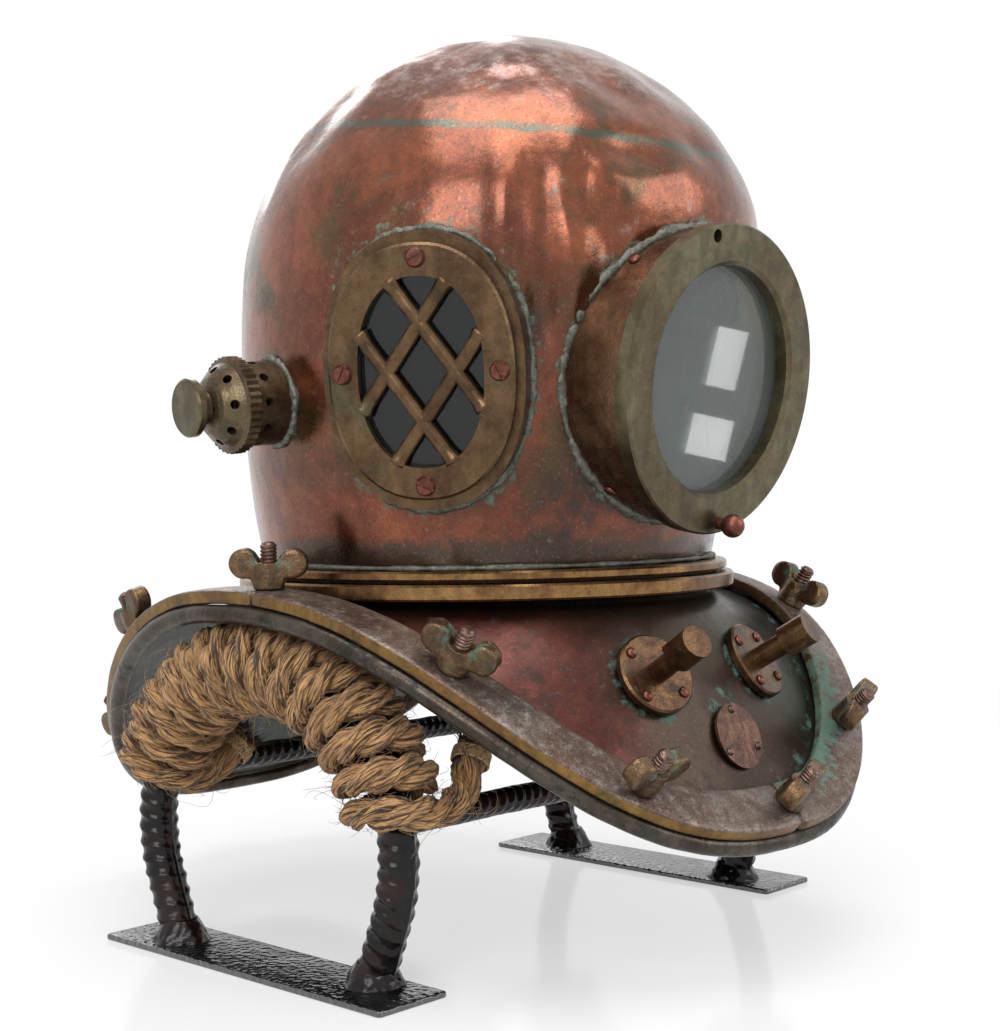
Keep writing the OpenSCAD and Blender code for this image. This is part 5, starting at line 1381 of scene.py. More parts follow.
@dataclass
class Corselet:
    """Beaten sheet with a rolled edge, four cast brails, studs, wing nuts and breast fittings."""

    shoulder_h: float = 182.15
    rim_x: float = 151.0
    rim_front: float = 206.0
    rim_rear: float = 208.0
    rim_y: float = 5.0
    rim_power: float = 2.4
    front_drop: float = 101.0
    rear_drop: float = 118.4
    rim_rise: float = 2.5
    left_lift: float = 17.0
    slopes: tuple[float, float, float] = (42.0, 50.0, 2.0)
    neck_slopes: tuple[float, float] = (35.0, 5.0)
    edge_r: float = 4.5
    sheet_t: float = 2.5
    brail_w: float = 25.0
    brail_t: float = 7.0
    collar_gap: float = 2.0
    neck_y: float = -11.0
    neck_r: float = 118.0
    neck_drop: float = 6.4
    neck_wall_h: float = 3.0
    pulls: tuple[float, float, float] = (0.42, 0.25, 0.14)
    stud_angles: tuple[float, ...] = (0, 28.5, 58.5, 87, 115, 143, 180, -143, -115, -87, -58.5, -28.5)
    nut_turns: tuple[float, ...] = (18, -20, 12, -30, 15, -12, 34, 25, 0, 40, 8, 43)
    weight_at: tuple[float, float] = (39.6, -153.9)
    weight_drop: float = 42.5
    weight_turn: float = 12.0
    weight_tilt: float = 30.6
    plate_at: tuple[float, float, float] = (0.0, -178.0, 124.0)
    sheet_rows: int = 46
    flat_rows: int = 7
    roll_rows: int = 22

    def rim_point(self, angle: Array) -> Array:
        """Middle of the brails' top at an angle in degrees from the front.

        It is a superellipse that climbs to the shoulders.
        """
        a = np.radians(angle)
        s, c = np.sin(a), np.cos(a)
        low = self.shoulder_h - np.where(c > 0, self.front_drop, self.rear_drop)
        lift = np.where((s > 0) & (c > 0), self.left_lift * np.sin(2 * a) ** 2, 0.0)
        return np.stack([
            self.rim_x * signed_power(s, 2 / self.rim_power),
            self.rim_y - np.where(c > 0, self.rim_front, self.rim_rear) * signed_power(c, 2 / self.rim_power),
            mix(low, self.shoulder_h, np.abs(s) ** self.rim_rise) + lift], -1)

    def rim_frame(self, angle: Array) -> tuple[Array, Array, Array, Array]:
        """Point on the rim, and directions across it, along it and off it."""
        angle = np.asarray(angle, dtype=float)
        a = np.radians(angle)
        along = unit(self.rim_point(angle + 0.5) - self.rim_point(angle - 0.5))
        out = unit(np.stack([along[..., 1], -along[..., 0], 0 * along[..., 0]], -1))
        end = np.where(np.cos(a) > 0, self.slopes[0], self.slopes[1])
        slope = np.radians(mix(end, self.slopes[2], np.sin(a) ** 4))[..., None]
        off = unit(np.cross(out * np.cos(slope) - UP * np.sin(slope), along))
        return self.rim_point(angle), np.cross(along, off), along, off

    def at_rim(self, angle: Array, across: Array | float, up: Array | float) -> Array:
        """Point at distances across and off the rim."""
        point, side, _, off = self.rim_frame(angle)
        return point + side * np.asarray(across)[..., None] + off * np.asarray(up)[..., None]

    def on_rim(self, angle: float) -> Array:
        """4 by 4 frame of a stud on the rim."""
        point, side, along, off = self.rim_frame(np.array(angle))
        matrix = np.eye(4)
        matrix[:3, :] = np.stack([side, along, off, point], 1)
        return matrix

    def sheet_line(self, angle: Array, depth: float, steps: Array) -> Array:
        """The sheet from the neck to the flange: a cubic curve that leaves along their slopes.

        Args:
            angle: degrees from the front.
            depth: distance under the outer face.
            steps: shares of the way along the curve.

        Returns:
            Angles by steps by 3.
        """
        a = np.radians(angle)[:, None]
        point, side, _, off = self.rim_frame(angle)
        ray = np.concatenate([np.sin(a), -np.cos(a), 0 * a], 1)
        slope = np.radians(mix(self.neck_slopes[0], self.neck_slopes[1], np.sin(a) ** 2))
        start = np.array([0, self.neck_y, self.shoulder_h - self.neck_drop - self.neck_wall_h])
        start = start + ray * self.neck_r
        heel = point - side * (self.brail_w / 2 + 1) - off * (self.brail_t + self.collar_gap)
        span = np.linalg.norm(heel - start, axis=1, keepdims=True)
        lean = (1 - np.sin(slope)) / np.cos(slope)
        pull = mix(self.pulls[0], self.pulls[1], np.sin(a) ** 2)
        ahead, out = ray * np.cos(slope) - UP * np.sin(slope), ray * np.sin(slope) + UP * np.cos(slope)
        knots = [start - (ray + UP * lean) * depth, start + ahead * pull * span - out * depth,
                 heel - side * self.pulls[2] * span - off * depth, heel - off * depth]
        u = steps[None, :, None]
        weights = [(1 - u) ** 3, 3 * u * (1 - u) ** 2, 3 * u * u * (1 - u), u ** 3]
        return sum(w * k[:, None] for w, k in zip(weights, knots))

    def flange(self, angle: Array, depth: float, low: float, high: float) -> list[Array]:
        """Rows across the flange, from one distance across the rim to another."""
        return [self.at_rim(angle, across, depth) for across in np.linspace(low, high, self.flat_rows)]

    def shell(self) -> None:
        """Builds the sheet: outer face, rolled edge, inner face and neck, closed all round, and beaten.

        The rolled edge is an arc of the edge's radius, and the beating is lattice noise.
        """
        angle = np.linspace(0, 360, 432, endpoint=False)
        depth = -(self.brail_t + self.collar_gap)
        under = depth - self.sheet_t
        reach, height = self.brail_w / 2 - 1, -(self.brail_t + REST_GAP + self.edge_r)
        inset, bend = -self.brail_w / 2, reach - 5.5
        steps = np.linspace(0, 1, self.sheet_rows)
        first = np.arccos((depth - height) / self.edge_r) + np.pi / 2
        last = np.arccos((under - height) / self.edge_r) + np.pi / 2 - 2 * np.pi
        roll = [self.at_rim(angle, reach + self.edge_r * np.cos(b), height + self.edge_r * np.sin(b))
                for b in np.linspace(first, last, self.roll_rows)]
        top = np.array([0, self.neck_y, self.shoulder_h - self.neck_drop])
        ray = np.stack([np.sin(np.radians(angle)), -np.cos(np.radians(angle)), 0 * angle], 1)
        outer = np.moveaxis(self.sheet_line(angle, 0.0, steps), 1, 0)
        inner = np.moveaxis(self.sheet_line(angle, self.sheet_t, steps[::-1]), 1, 0)
        neck, lining = top + ray * self.neck_r, top + ray * (self.neck_r - self.sheet_t)
        grid = np.array([neck, *outer, *self.flange(angle, depth, inset, bend), *roll,
                         *self.flange(angle, under, bend, inset), *inner, lining])
        count = len(grid)
        flat_at = 1 + self.sheet_rows
        roll_at = flat_at + self.flat_rows
        roll_end = roll_at + self.roll_rows
        free = np.zeros(count)
        free[1:flat_at] = np.sin(np.pi * steps) ** 0.6
        free[-flat_at:-1] = np.sin(np.pi * steps) ** 0.6
        beaten = 0.9 * lattice_noise(grid, 34.0, 41) + 0.42 * lattice_noise(grid, 13.0, 42)
        off = self.rim_frame(angle)[3]
        grid = grid + (beaten * free[:, None])[..., None] * unit(off + ray * 0.6)[None]
        grid[roll_at:roll_end] += 0.25 * lattice_noise(grid[roll_at:roll_end], 9.0, 43)[..., None] * off
        kinds = np.zeros((count, len(angle)), dtype=int)
        kinds[roll_at - 1:roll_end + 1] = 1
        kinds[roll_end + 1:] = 2
        faces = grid_faces(count, len(angle), wrap_rows=True)
        finishes = [CORSELET_COPPER, ROLLED_EDGE, TINNED_COPPER]
        piece = make_mesh("corselet_sheet", grid.reshape(-1, 3), faces, finishes, kinds.ravel(),
                          patina_and_painted_light=self.mark_patina_and_painted_light(grid))
        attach(piece, "corselet")
        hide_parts("corselet_shell")

    def mark_patina_and_painted_light(self, grid: Array) -> Array:
        """How the sheet is marked: painted shadow in the fold where it meets the flange and under the neck
        ring, painted shade on the flange and the top of the rolled edge under the straps, green towards the
        wearer's left, and green and darker round the breast fittings.

        Args:
            grid: the sheet's points, in rows from the neck outwards, those of its outer face first.

        Returns:
            Dark, green and pale of each point, one row each.
        """
        face = 1 + self.sheet_rows
        patina_and_painted_light = np.zeros(grid.shape)
        share = np.linspace(0.0, 1.0, face)[:, None]
        left = ease((grid[:face, :, 0] + 40.0) / 110.0)
        # Painted shadow: dark in the fold where the sheet meets the flange, and at the neck under the neck
        # ring.
        patina_and_painted_light[:face, :, 0] = 0.75 * np.exp(-((1.0 - share) / 0.09) ** 2)
        patina_and_painted_light[:face, :, 0] += 0.35 * np.exp(-(share / 0.06) ** 2)
        patina_and_painted_light[:face, :, 1] = 0.42 * left * np.exp(-((1.0 - share) / 0.22) ** 2)
        # Painted shade on the flange and the top of the rolled edge, under the straps.
        patina_and_painted_light[face:face + 10, :, 0] = 0.95
        x, y = self.weight_at
        weights = [((side * x, y, self.shoulder_h - self.weight_drop), 20.0) for side in (-1, 1)]
        for middle, reach in (*weights, (self.plate_at, 15.0)):
            far = np.linalg.norm(grid[:face] - np.array(middle), axis=-1)
            patina_and_painted_light[:face, :, 1] += 0.45 * np.exp(-((far - reach) / 4.0) ** 2)
            patina_and_painted_light[:face, :, 0] += 0.55 * np.exp(-((far - reach) / 3.0) ** 2)
        return patina_and_painted_light.reshape(-1, 3)

    def brail(self, start: float, end: float, node: str, seed: int) -> None:
        """Builds a cast strap: a rounded bar section carried along the rim, crowned and grained by the mould.

        The section is a superellipse. Its corners are sharper across than through the strap.
        """
        length = run_length(self.rim_point(np.linspace(start, end, 200)))[-1]
        rows = int(length / 0.95)
        inset = 0.5 / length * (end - start)
        angle = np.linspace(start + inset, end - inset, rows)
        ring = round_angles(56)
        half_w, half_t = self.brail_w / 2, self.brail_t / 2
        wide = half_w * signed_power(np.cos(ring), 0.22)
        thick = half_t * signed_power(np.sin(ring), 0.3) - half_t
        crown = np.where(np.sin(ring) > 0, 0.35 * (1 - (wide / half_w) ** 2), 0.0)
        point, side, _, off = self.rim_frame(angle)
        ends = 1.0 - 0.08 * np.exp(-np.minimum(np.arange(rows), np.arange(rows)[::-1]) / 1.4)
        grid = point[:, None] + side[:, None] * (wide * ends[:, None])[..., None]
        grid = grid + off[:, None] * (thick + crown - 0.35)[None, :, None]
        rough = 0.10 * lattice_noise(grid, 1.9, seed) + 0.22 * lattice_noise(grid, 17.0, seed + 1)
        away = off[:, None] * 0.8 + side[:, None] * np.sign(wide)[None, :, None] * 0.2
        grid = grid + away * rough[..., None]
        middle = ring + np.pi / len(ring)
        sides = (np.abs(np.cos(middle)) ** 0.22 > 0.985) & (np.abs(np.sin(middle)) ** 0.3 < 0.93)
        form = Surface()
        form.add_grid(grid, kind=sides.astype(int), patina_and_painted_light=self.strap_weather(angle[:, None], wide, ring))
        piece = form.piece(node + "_cast", [CAST_STRAP, FILED_STRAP])
        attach(piece, "corselet")
        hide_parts(node)

    def strap_weather(self, angle: Array, wide: Array, ring: Array) -> Array:
        """How a strap is marked: green towards the wearer's left and the inner side, pale along its edges.

        Args:
            angle: degrees from the front of each row, in a column.
            wide: distance across the rim of each point of the section.
            ring: the section's angles.

        Returns:
            Rows by points by 3: dark, green and pale.
        """
        left = ease((angle + 14.0) / 24.0) * ease((64.0 - angle) / 30.0)
        inner = ease((self.brail_w / 4 - wide[None]) / 16.0)
        patina_and_painted_light = np.zeros((len(angle), len(ring), 3))
        patina_and_painted_light[..., 1] = left * (0.2 + 0.42 * inner) + 0.1 * ease((np.abs(angle) - 70.0) / 20.0)
        patina_and_painted_light[..., 2] = 0.25 * ease((np.cos(ring) + 0.6) / 0.4) * ease((-np.cos(ring) + 1.1) / 0.4)
        return patina_and_painted_light

    def studs(self) -> None:
        """Builds the twelve studs: a collar, a shank, and a thread under a rounded tip.

        The thread's radius falls by a cosine of (height / pitch - angle), squared.
        """
        pitch, shank_r, thread_from, thread_to, tip_from = 1.75, 3.95, 8.0, 20.4, 21.0
        form = Surface()
        foot = -(self.brail_t + self.collar_gap) + REST_GAP
        tip = tip_from + 1.5 - 1.5 * (1 - np.linspace(0, 1, 8)) ** 2
        height = np.concatenate([np.linspace(foot, thread_from, 8), np.linspace(8.2, tip_from, 84), tip])
        dome = 3.3 * np.sqrt(np.clip(1 - ((height - tip_from) / 1.9) ** 2, 0.02, 1)) + 0.1
        base = np.where(height > tip_from, dome, shank_r)
        angle = round_angles(40)
        wave = 0.5 + 0.5 * np.cos(2 * np.pi * height[:, None] / pitch - angle)
        cut = ((height > thread_from) & (height < thread_to))[:, None]
        radius = base[:, None] - np.where(cut, 0.55 * wave ** 2, 0.0)
        screw = np.stack([radius * np.cos(angle), radius * np.sin(angle), height[:, None] + 0 * angle], -1)
        collar = lathe_grid(np.array([[4.2, foot], [7.0, foot], [7.0, foot + 1.0], [4.2, foot + 1.0]]), 40)
        for place in self.stud_angles:
            form.add_grid(carry(self.on_rim(place), screw))
            form.add_grid(carry(self.on_rim(place), collar), wrap_rows=True)
        piece = form.piece("rim_studs_threaded", [STUD_BRONZE])
        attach(piece, "corselet")
        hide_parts("brail_studs")

    def wing_nut(self, index: int) -> None:
        """Builds the wing nut on one stud.

        Args:
            index: place of the nut's stud in stud_angles.
        """
        matrix = self.on_rim(self.stud_angles[index]) @ turn("Z", 90 + self.nut_turns[index])
        grid, patina_and_painted_light = WingNut(60 + index).cast()
        form = Surface()
        form.add_grid(carry(matrix @ shift(0, 0, REST_GAP), grid), patina_and_painted_light=patina_and_painted_light)
        node = f"wing_nut_{index + 1}"
        piece = form.piece(node + "_cast", [CAST_NUT])
        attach(piece, node)
        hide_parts(node)

    def rivet_heads(self) -> None:
        """Builds the domed rivets of the weight studs' flanges, four to each."""
        form = Surface()
        rivet = rivet_grid(head_r=2.75, head_h=1.75, seat=4.0, shank_r=1.25, foot=0.2, rows=9, sides=28)
        x, y = self.weight_at
        for side in (-1, 1):
            place = shift(side * x, y, self.shoulder_h - self.weight_drop)
            place = place @ turn("Z", side * self.weight_turn) @ turn("X", 90 - self.weight_tilt)
            for k in range(4):
                form.add_grid(carry(place @ turn("Z", 90 * k + 45) @ shift(15.5, 0, 0), rivet))
        piece = form.piece("flange_rivet_heads", [RIVET_COPPER])
        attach(piece, "corselet")
        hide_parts("weight_stud_rivets")

    def build(self) -> None:
        """Builds the sheet, the straps, the studs, the nuts and the rivet heads."""
        self.shell()
        for start, end, node, seed in ((-87, 0, "brail_front_right", 51), (0, 87, "brail_front_left", 53),
                                       (-180, -87, "brail_rear_right", 55), (87, 180, "brail_rear_left", 57)):
            self.brail(start, end, node, seed)
        self.studs()
        for index in range(len(self.stud_angles)):
            self.wing_nut(index)
        self.rivet_heads()
        log.info("corselet: sheet, four straps, %d studs and nuts", len(self.stud_angles))


# The bonnet


@dataclass(frozen=True)
class Dent:
    """A shallow hollow in the bonnet, or a ridge where its depth is negative.

    The angle is from the front towards the wearer's left. across and down are its widths.
    """

    angle: float
    height: float
    across: float
    down: float
    depth: float


@dataclass(frozen=True)
class Port:
    """An opening's axis on the bonnet, and the half width and half height of what is soldered into it.

    The angle is from the front towards the wearer's right.
    """

    name: str
    angle: float
    height: float
    tilt: float
    half_w: float
    half_h: float
    hole: float
    bead: float
    power: float = 2.0


@dataclass
class Bonnet:
    """Raised copper shell with solder lines round its fittings, and the fittings' rivets and frames."""

    neck_y: float = -11.0
    foot_z: float = 189.45
    base_r: float = 119.5
    belly_r: float = 136.5
    belly_h: float = 133.5
    crown_h: float = 140.8
    crown_power: float = 2.12
    lean: float = BONNET_LEAN
    flat_r: float = 150.0
    flat_back: float = 16.2
    flat_tilt: float = 2.6
    shell_t: float = 2.0
    light_base: float = 0.35
    ports: tuple[Port, ...] = (
        Port("front", -1.0, 300.7, -8.7, 71.0, 71.0, 63.0, 2.6),
        Port("right", 57.4, 302.0, -8.4, 47.0, 63.5, 38.0, 2.1, 2.25),
        Port("left", -57.4, 302.0, -8.4, 47.0, 63.5, 38.0, 2.1, 2.25),
        Port("exhaust", 98.0, 281.3, -4.5, 20.5, 20.5, 18.2, 1.8),
        Port("inlet", -155.0, 262.0, 0.0, 19.0, 19.0, 11.0, 1.2))
    guard_angle: float = 54.6
    guard_off: float = 13.0
    guard_reach: tuple[float, float] = (30.6, 44.7)
    guard_z: float = 149.2
    guard_half: tuple[float, float] = (3.4, 3.0)
    rivets: tuple[tuple[float, float], ...] = ((133.3, 133.0), (129.8, 232.0), (133.3, 47.0), (129.8, -52.0))
    compass_y: float = -25.0
    belly_share: float = 0.36
    columns: int = 300
    rows: int = 148
    dents: tuple[Dent, ...] = (
        Dent(-38.5, 348, 9, 34, 4.2), Dent(-46.5, 352, 7, 30, -1.8), Dent(-31, 362, 7, 15, 3.4),
        Dent(-25.5, 343, 8, 14, 3.2), Dent(-39, 306, 8, 17, 3.2), Dent(-34, 318, 6, 20, -1.6),
        Dent(-16, 395, 22, 7, -0.9), Dent(-20, 383, 18, 8, 2.2), Dent(2, 392, 15, 8, 1.6),
        Dent(-62, 430, 16, 12, 1.8), Dent(-15, 420, 14, 12, 1.8), Dent(-75, 405, 14, 20, 1.4),
        Dent(10, 430, 14, 12, 1.8), Dent(-45, 422, 13, 9, 1.4), Dent(-100, 395, 16, 14, 1.5),
        Dent(38, 402, 16, 14, 2.0), Dent(-95, 420, 13, 18, 1.4), Dent(-120, 380, 18, 22, 1.4),
        Dent(150, 400, 24, 22, 1.8), Dent(70, 420, 16, 14, 1.6), Dent(-160, 330, 22, 26, 1.4),
        Dent(110, 350, 18, 20, 1.2))

    def on_port(self, port: Port) -> Array:
        """4 by 4 frame of a port: local Z points out of the helmet and local Y up."""
        place = shift(0, self.neck_y, port.height + self.light_base)
        return place @ turn("Z", -port.angle) @ turn("X", 90 - port.tilt)

    @property
    def flat_frame(self) -> Array:
        """4 by 4 frame of the wide cylinder round the front light: local Y is its axis."""
        return self.on_port(self.ports[0]) @ shift(0, 0, -self.flat_back) @ turn("X", self.flat_tilt)

    @property
    def leaned(self) -> Array:
        """4 by 4 frame of the shell's own axis."""
        return shift(0, self.neck_y, self.foot_z) @ turn("X", self.lean)

    def profile(self, share: Array, shrink: float) -> Array:
        """Radius and height of the turned body: a parabola up to the belly, then a superellipse."""
        below_belly = share < self.belly_share
        h = mix(-16.0, self.belly_h, share / self.belly_share)
        t = np.clip((share - self.belly_share) / (1.0 - self.belly_share), 0, 1) * np.pi / 2
        fall = (self.belly_r - self.base_r) * ((self.belly_h - h) / self.belly_h) ** 2
        c, s = np.clip(np.cos(t), 0, 1), np.clip(np.sin(t), 0, 1)
        radius = (self.belly_r - shrink) * c ** (2 / self.crown_power)
        height = self.belly_h + (self.crown_h - shrink) * s ** (2 / self.crown_power)
        radius = np.where(below_belly, self.belly_r - fall - shrink, radius)
        return np.stack([radius, np.where(below_belly, h, height)], -1)

    def face(self, shrink: float) -> Array:
        """One face of the shell: the turned body, eased onto a wider cylinder round the front light.

        Points outside that cylinder move in towards its axis by a soft minimum of the two radii.
        """
        low = np.linspace(0.0, self.belly_share, self.rows // 3, endpoint=False)
        high = np.linspace(self.belly_share, 0.998, self.rows - self.rows // 3)
        body = lathe_grid(self.profile(np.concatenate([low, high]), shrink), self.columns)
        local = carry(np.linalg.inv(self.flat_frame), carry(self.leaned, body))
        radius = np.hypot(local[..., 0], local[..., 2])
        least = soft_least(radius, self.flat_r - shrink, 7.0)
        least = np.where(local[..., 2] > -20, least, radius)
        local[..., 0] *= least / radius
        local[..., 2] *= least / radius
        return carry(self.flat_frame, local)

    def compass(self, points: Array) -> Array:
        """Angle of each point in degrees from the front towards the wearer's left."""
        return np.degrees(np.arctan2(points[:, 0], self.compass_y - points[:, 1]))

    def dent_reach(self, dent: Dent, points: Array) -> Array:
        """How far points are from a dent's middle, squared: (along / across)² + (up / down)²."""
        off = (self.compass(points) - dent.angle + 180) % 360 - 180
        along = np.radians(off) * np.hypot(points[:, 0], points[:, 1] - self.compass_y)
        return (along / dent.across) ** 2 + ((points[:, 2] - dent.height) / dent.down) ** 2

    def depth(self, points: Array) -> Array:
        """How far the surface is moved out at each point: broad waves, hammer marks, and the named dents.

        A dent is a bell of its depth with a low rim round it.
        """
        value = 0.55 * lattice_noise(points, 46.0, 81) + 0.22 * lattice_noise(points, 17.0, 82)
        planished = 0.75 * lattice_noise(points, 24.0, 83) + 0.3 * lattice_noise(points, 11.0, 84) - 2.2
        value += ease((points[:, 2] - 380.0) / 50.0) * planished
        for dent in self.dents:
            far = self.dent_reach(dent, points)
            value -= dent.depth * np.exp(-far)
            value += 0.25 * dent.depth * np.exp(-0.45 * (np.sqrt(far) - 2.0) ** 2)
        return value * ease((points[:, 2] - self.foot_z - 4.0) / 20.0)

    def port_local(self, port: Port, points: Array) -> Array:
        """Points in a port's own frame."""
        return carry(np.linalg.inv(self.on_port(port)), points)

    def port_ratio(self, port: Port, local: Array, inset: float) -> Array:
        """How far out points lie on the port's outline, made smaller by the inset: below 1 is inside."""
        a, b, p = port.half_w - inset, port.half_h - inset, port.power
        return (np.abs(local[..., 0] / a) ** p + np.abs(local[..., 1] / b) ** p) ** (1 / p)

    def shell(self) -> None:
        """Builds the shell: two faces on one grid, joined by a wall along the foot and round each hole."""
        columns, total = self.columns, self.rows * self.columns
        outer, inner = self.face(0.0), self.face(self.shell_t)
        out, back = outer.reshape(-1, 3), inner.reshape(-1, 3)
        move = self.depth(out)[:, None] * unit(outer - inner).reshape(-1, 3)
        poles = [out[-columns:].mean(0), back[-columns:].mean(0)]
        points = np.concatenate([out + move, back + move, poles])
        points[:, 2] = np.maximum(points[:, 2], self.foot_z)
        faces = grid_faces(self.rows, columns)
        middle = out[faces].mean(1)
        keep = out[faces][..., 2].max(1) > self.foot_z
        for port in self.ports:
            local = self.port_local(port, middle)
            hole = self.port_ratio(port, local, port.half_w - port.hole) < 1.0
            keep &= ~(hole & (local[:, 2] > 60))
        faces = faces[keep]
        edges = np.concatenate([faces[:, [i, (i + 1) % 4]] for i in range(4)])
        first, tally = np.unique(np.sort(edges, 1), axis=0, return_index=True, return_counts=True)[1:]
        rim = edges[first[tally == 1]]
        top = total - columns
        rim = rim[~((rim[:, 0] >= top) & (rim[:, 1] >= top))]
        walls = np.stack([rim[:, 0], rim[:, 1], rim[:, 1] + total, rim[:, 0] + total], 1)
        caps = [[2 * total + face, face * total + top + i, face * total + top + (i + 1) % columns]
                for face in (0, 1) for i in range(columns)]
        kinds = np.repeat([0, 1, 0, 1], [len(faces), len(faces) + len(walls), columns, columns])
        every = [*faces.tolist(), *(faces + total).tolist(), *walls.tolist(), *caps]
        used, packed = np.unique(np.concatenate([np.ravel(f) for f in every]), return_inverse=True)
        starts = np.cumsum([0] + [len(f) for f in every])
        every = [packed[a:b].tolist() for a, b in zip(starts[:-1], starts[1:])]
        piece = make_mesh("bonnet_raised_shell", points[used], every, [BONNET_COPPER, TINNED_COPPER], kinds,
                          patina_and_painted_light=self.mark_patina_and_painted_light(points[used]))
        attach(piece, "bonnet")
        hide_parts("bonnet_shell")

    def mark_patina_and_painted_light(self, points: Array) -> Array:
        """How the shell is marked: darker round the fittings' edges, green by the solder, paler just above
        the fittings, a painted dark reflection low between the front and side lights, painted shade along the
        crease and in the dent hollows, and paler over the crown, partly its own colour and partly a painted
        highlight.

        Args:
            points: places on the shell, one a row.

        Returns:
            Dark, green and pale of each point, one row each.
        """
        patina_and_painted_light = np.zeros(points.shape)
        height = points[:, 2]
        for port in self.ports[:4]:
            local = self.port_local(port, points)
            off = (self.port_ratio(port, local, 0.0) - 1.0) * min(port.half_w, port.half_h)
            here = local[:, 2] > 60
            patina_and_painted_light[:, 0] += 0.55 * (np.exp(-(np.clip(off, 0, None) / 5.0) ** 2) * here)
            patina_and_painted_light[:, 1] += 0.36 * np.exp(-((off - 3.0) / 3.2) ** 2) * here
            above = ease((local[:, 1] - 10.0) / 40.0)
            patina_and_painted_light[:, 2] += 0.16 * np.exp(-((off - 9.0) / 6.0) ** 2) * here * above
        angle = self.compass(points)
        # Painted dark reflection low between the front and side lights, and painted shade along the crease
        # beside the front light.
        patina_and_painted_light[:, 0] += 0.5 * ease((250.0 - height) / 30.0) * np.exp(-((angle + 30.0) / 22.0) ** 2)
        patina_and_painted_light[:, 0] += 0.22 * np.exp(-((angle + 33.0) / 9.0) ** 2) * ease((330.0 - height) / 40.0)
        # Painted shade in the hollows of the deepest dents.
        for dent in self.dents[:8]:
            if dent.depth > 0:
                patina_and_painted_light[:, 0] += 0.11 * dent.depth * np.exp(-1.6 * self.dent_reach(dent, points))
        # Paler over the crown: partly its own colour, partly a painted highlight.
        patina_and_painted_light[:, 2] += 0.42 * ease((height - 398.0) / 30.0)
        return patina_and_painted_light

    def wall_height(self, port: Port, across: Array) -> Array:
        """Height on a port's axis at which lines along it, at places across it, meet the shell's outer face.

        Each line is halved between a place inside the shell and one outside.
        """
        flat, own_frame = np.linalg.inv(self.flat_frame), np.linalg.inv(self.leaned)
        table = self.profile(np.linspace(0.0, 1.0, 1500), 0.0)
        low, high = np.full(len(across), 60.0), np.full(len(across), 175.0)
        for _ in range(24):
            z = (low + high) / 2
            world = carry(self.on_port(port), np.concatenate([across, z[:, None]], 1))
            own, local = carry(own_frame, world), carry(flat, world)
            limit = np.interp(own[:, 2], table[:, 1], table[:, 0])
            out = np.hypot(own[:, 0], own[:, 1]) > limit
            out |= np.hypot(local[:, 0], local[:, 2]) > self.flat_r
            low, high = np.where(out, low, z), np.where(out, z, high)
        return low

    def bead(self, port: Port, seed: int, form: Surface) -> None:
        """Adds a hand-run solder line: a lumpy tube along the curve where a fitting leaves the shell."""
        angle = round_angles(240)
        power, off = 2 / port.power, 0.4
        across = np.stack([(port.half_w + off) * signed_power(np.cos(angle), power),
                           (port.half_h + off) * signed_power(np.sin(angle), power)], 1)
        local = np.concatenate([across, self.wall_height(port, across)[:, None]], 1)
        line = carry(self.on_port(port), local)
        lumps = 0.42 * lattice_noise(line, 9.0, seed)
        size = port.bead * (1.0 + lumps + 0.25 * lattice_noise(line, 3.0, seed + 1))
        ahead = unit(np.roll(line, -1, 0) - np.roll(line, 1, 0))
        axis = unit(self.on_port(port)[:3, 2])
        grid = ring_grid(line, size, unit(np.cross(ahead, axis)), axis, 12)
        lump = 0.35 * lattice_noise(grid, 2.0, seed + 2)
        form.add_grid(line[:, None] + (grid - line[:, None]) * (1 + lump)[..., None], wrap_rows=True)

    def solder(self) -> None:
        """Builds the solder lines round the fittings and along the shell's foot."""
        form = Surface()
        for number, port in enumerate(self.ports[:4]):
            self.bead(port, 90 + 5 * number, form)
        low = self.face(0.0)[:60]
        line = np.array([[np.interp(self.foot_z + 1.4, column[:, 2], column[:, k]) for k in range(3)]
                         for column in low.transpose(1, 0, 2)])
        out = unit((line - line.mean(0)) * np.array([1.0, 1.0, 0.0]))
        line = line + 0.8 * out
        size = 1.5 * (1.0 + 0.5 * lattice_noise(line, 11.0, 131) + 0.2 * lattice_noise(line, 4.0, 132))
        form.add_grid(ring_grid(line, size, out, UP, 10), wrap_rows=True)
        piece = form.piece("solder_lines", [SOLDER])
        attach(piece, "bonnet")

    def tube_rivets(self) -> None:
        """Builds the four domed rivets in the front tube."""
        form = Surface()
        front = self.on_port(self.ports[0])
        rivet = rivet_grid(head_r=3.1, head_h=2.0, seat=71.0, shank_r=1.5, foot=67.0, rows=10, sides=32)
        for z, angle in self.rivets:
            form.add_grid(carry(front @ turn("Z", angle) @ shift(0, 0, z) @ turn("Y", 90), rivet))
        piece = form.piece("tube_rivet_heads", [RIVET_COPPER])
        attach(piece, "bonnet")
        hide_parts("tube_rivets")

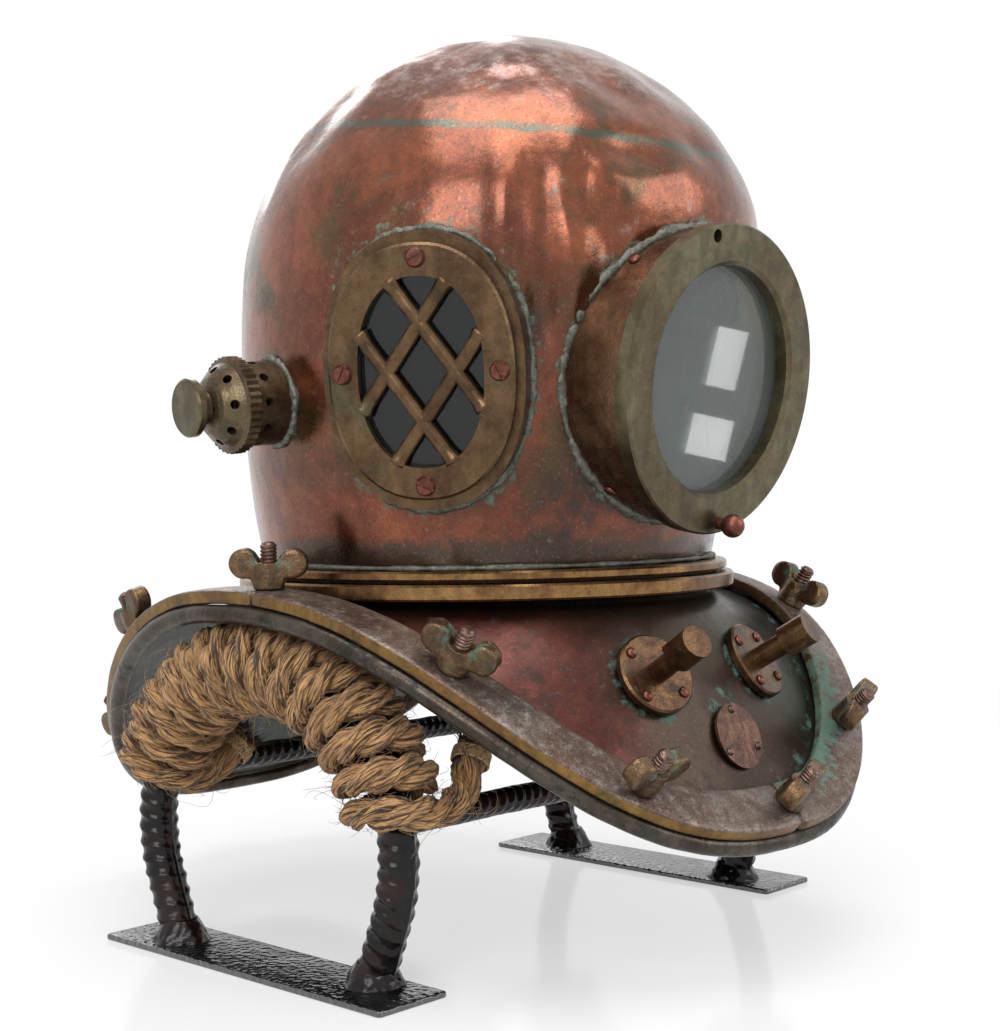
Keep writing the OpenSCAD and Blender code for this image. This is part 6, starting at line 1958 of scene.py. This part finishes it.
    def guard_bars(self, port: Port) -> None:
        """Builds the rounded backs of a side light's four crossed guard bars, cast in one with its frame.

        Args:
            port: the side light.
        """
        form = Surface()
        half_w, half_h = self.guard_reach
        bars = [(slant, off) for slant in (-self.guard_angle, self.guard_angle) for off in (-1, 1)]
        for number, (slant, off) in enumerate(bars):
            along = unit(np.array([np.cos(np.radians(slant)), np.sin(np.radians(slant)), 0.0]))
            across = np.array([-along[1], along[0], 0.0])
            line = np.linspace(-70, 70, 281)[:, None] * along + off * self.guard_off * across
            held = np.abs(line[:, 0] / half_w) ** port.power + np.abs(line[:, 1] / half_h) ** port.power < 1
            line = line[held][::3] + np.array([0.0, 0.0, self.guard_z])
            ring = round_angles(20)[:, None]
            step = np.arange(len(line))
            flare = 1 + 0.35 * np.exp(-(np.minimum(step, step[::-1]) / 2.2) ** 2)[:, None, None]
            offset = self.guard_half[0] * np.cos(ring) * across + self.guard_half[1] * np.sin(ring) * UP
            grid = line[:, None] + flare * offset
            lump = 0.13 * lattice_noise(grid, 4.0, 150 + number)
            form.add_grid(carry(self.on_port(port), grid + unit(offset) * lump[..., None]))
        piece = form.piece(f"{port.name}_guard_bars", [FRAME_BRASS])
        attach(piece, "bonnet")

    def build(self) -> None:
        """Builds the shell, the solder, the rivets and the guard bars."""
        self.shell()
        self.solder()
        self.tube_rivets()
        for port in self.ports[1:3]:
            self.guard_bars(port)
        log.info("bonnet: shell with %d ports, solder lines, rivets, guard bars", len(self.ports))


@dataclass
class KeptSolids:
    """Solids whose shape is right: they keep their mesh and get their real finish."""

    finishes: dict[str, Finish] = field(default_factory=lambda: {
        "corselet_neck_ring": NECK_BRASS, "bonnet_neck_ring": NECK_BRASS, "neck_washer": WASHER_LEATHER,
        "weight_stud_right": WEIGHT_BRASS, "weight_stud_left": WEIGHT_BRASS, "badge_plate": PLATE_BRONZE,
        "badge_screws": STUD_BRONZE, "front_tube": TUBE_BRASS, "side_seat_right": FRAME_BRASS,
        "side_seat_left": FRAME_BRASS, "side_frame_right": FRAME_BRASS, "side_frame_left": FRAME_BRASS,
        "side_glass_right": SIDE_GLASS, "side_glass_left": SIDE_GLASS, "side_frame_screws": RIVET_COPPER,
        "exhaust_body": VALVE_BRASS, "exhaust_spring": SPRING_STEEL, "air_elbow": FRAME_BRASS,
        "air_valve_retainer": FRAME_BRASS, "air_valve_spring": SPRING_STEEL, "air_valve_disc": SEAL_RUBBER,
        "front_glass": FRONT_GLASS, "front_gasket": SEAL_RUBBER, "front_ring": RING_BRASS,
        "front_knob": RIVET_COPPER, "exhaust_cap": VALVE_BRASS, "exhaust_stem": NECK_BRASS,
        "exhaust_knob": RING_BRASS})

    def build(self) -> None:
        """Puts the finish into each solid's material slots."""
        for node, finish in self.finishes.items():
            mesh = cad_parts[node].data
            mesh.materials.clear()
            mesh.materials.append(finish.made())
        log.info("kept solids: %d finished", len(self.finishes))


def main() -> None:
    """Builds the studio and every sub-assembly."""
    logging.basicConfig(level=logging.INFO, format="%(name)s: %(message)s")
    Studio().build()
    stand = Stand()
    stand.build()
    RopeWinding(stand).build()
    Corselet().build()
    Bonnet().build()
    KeptSolids().build()


if __name__ == "__main__":
    main()
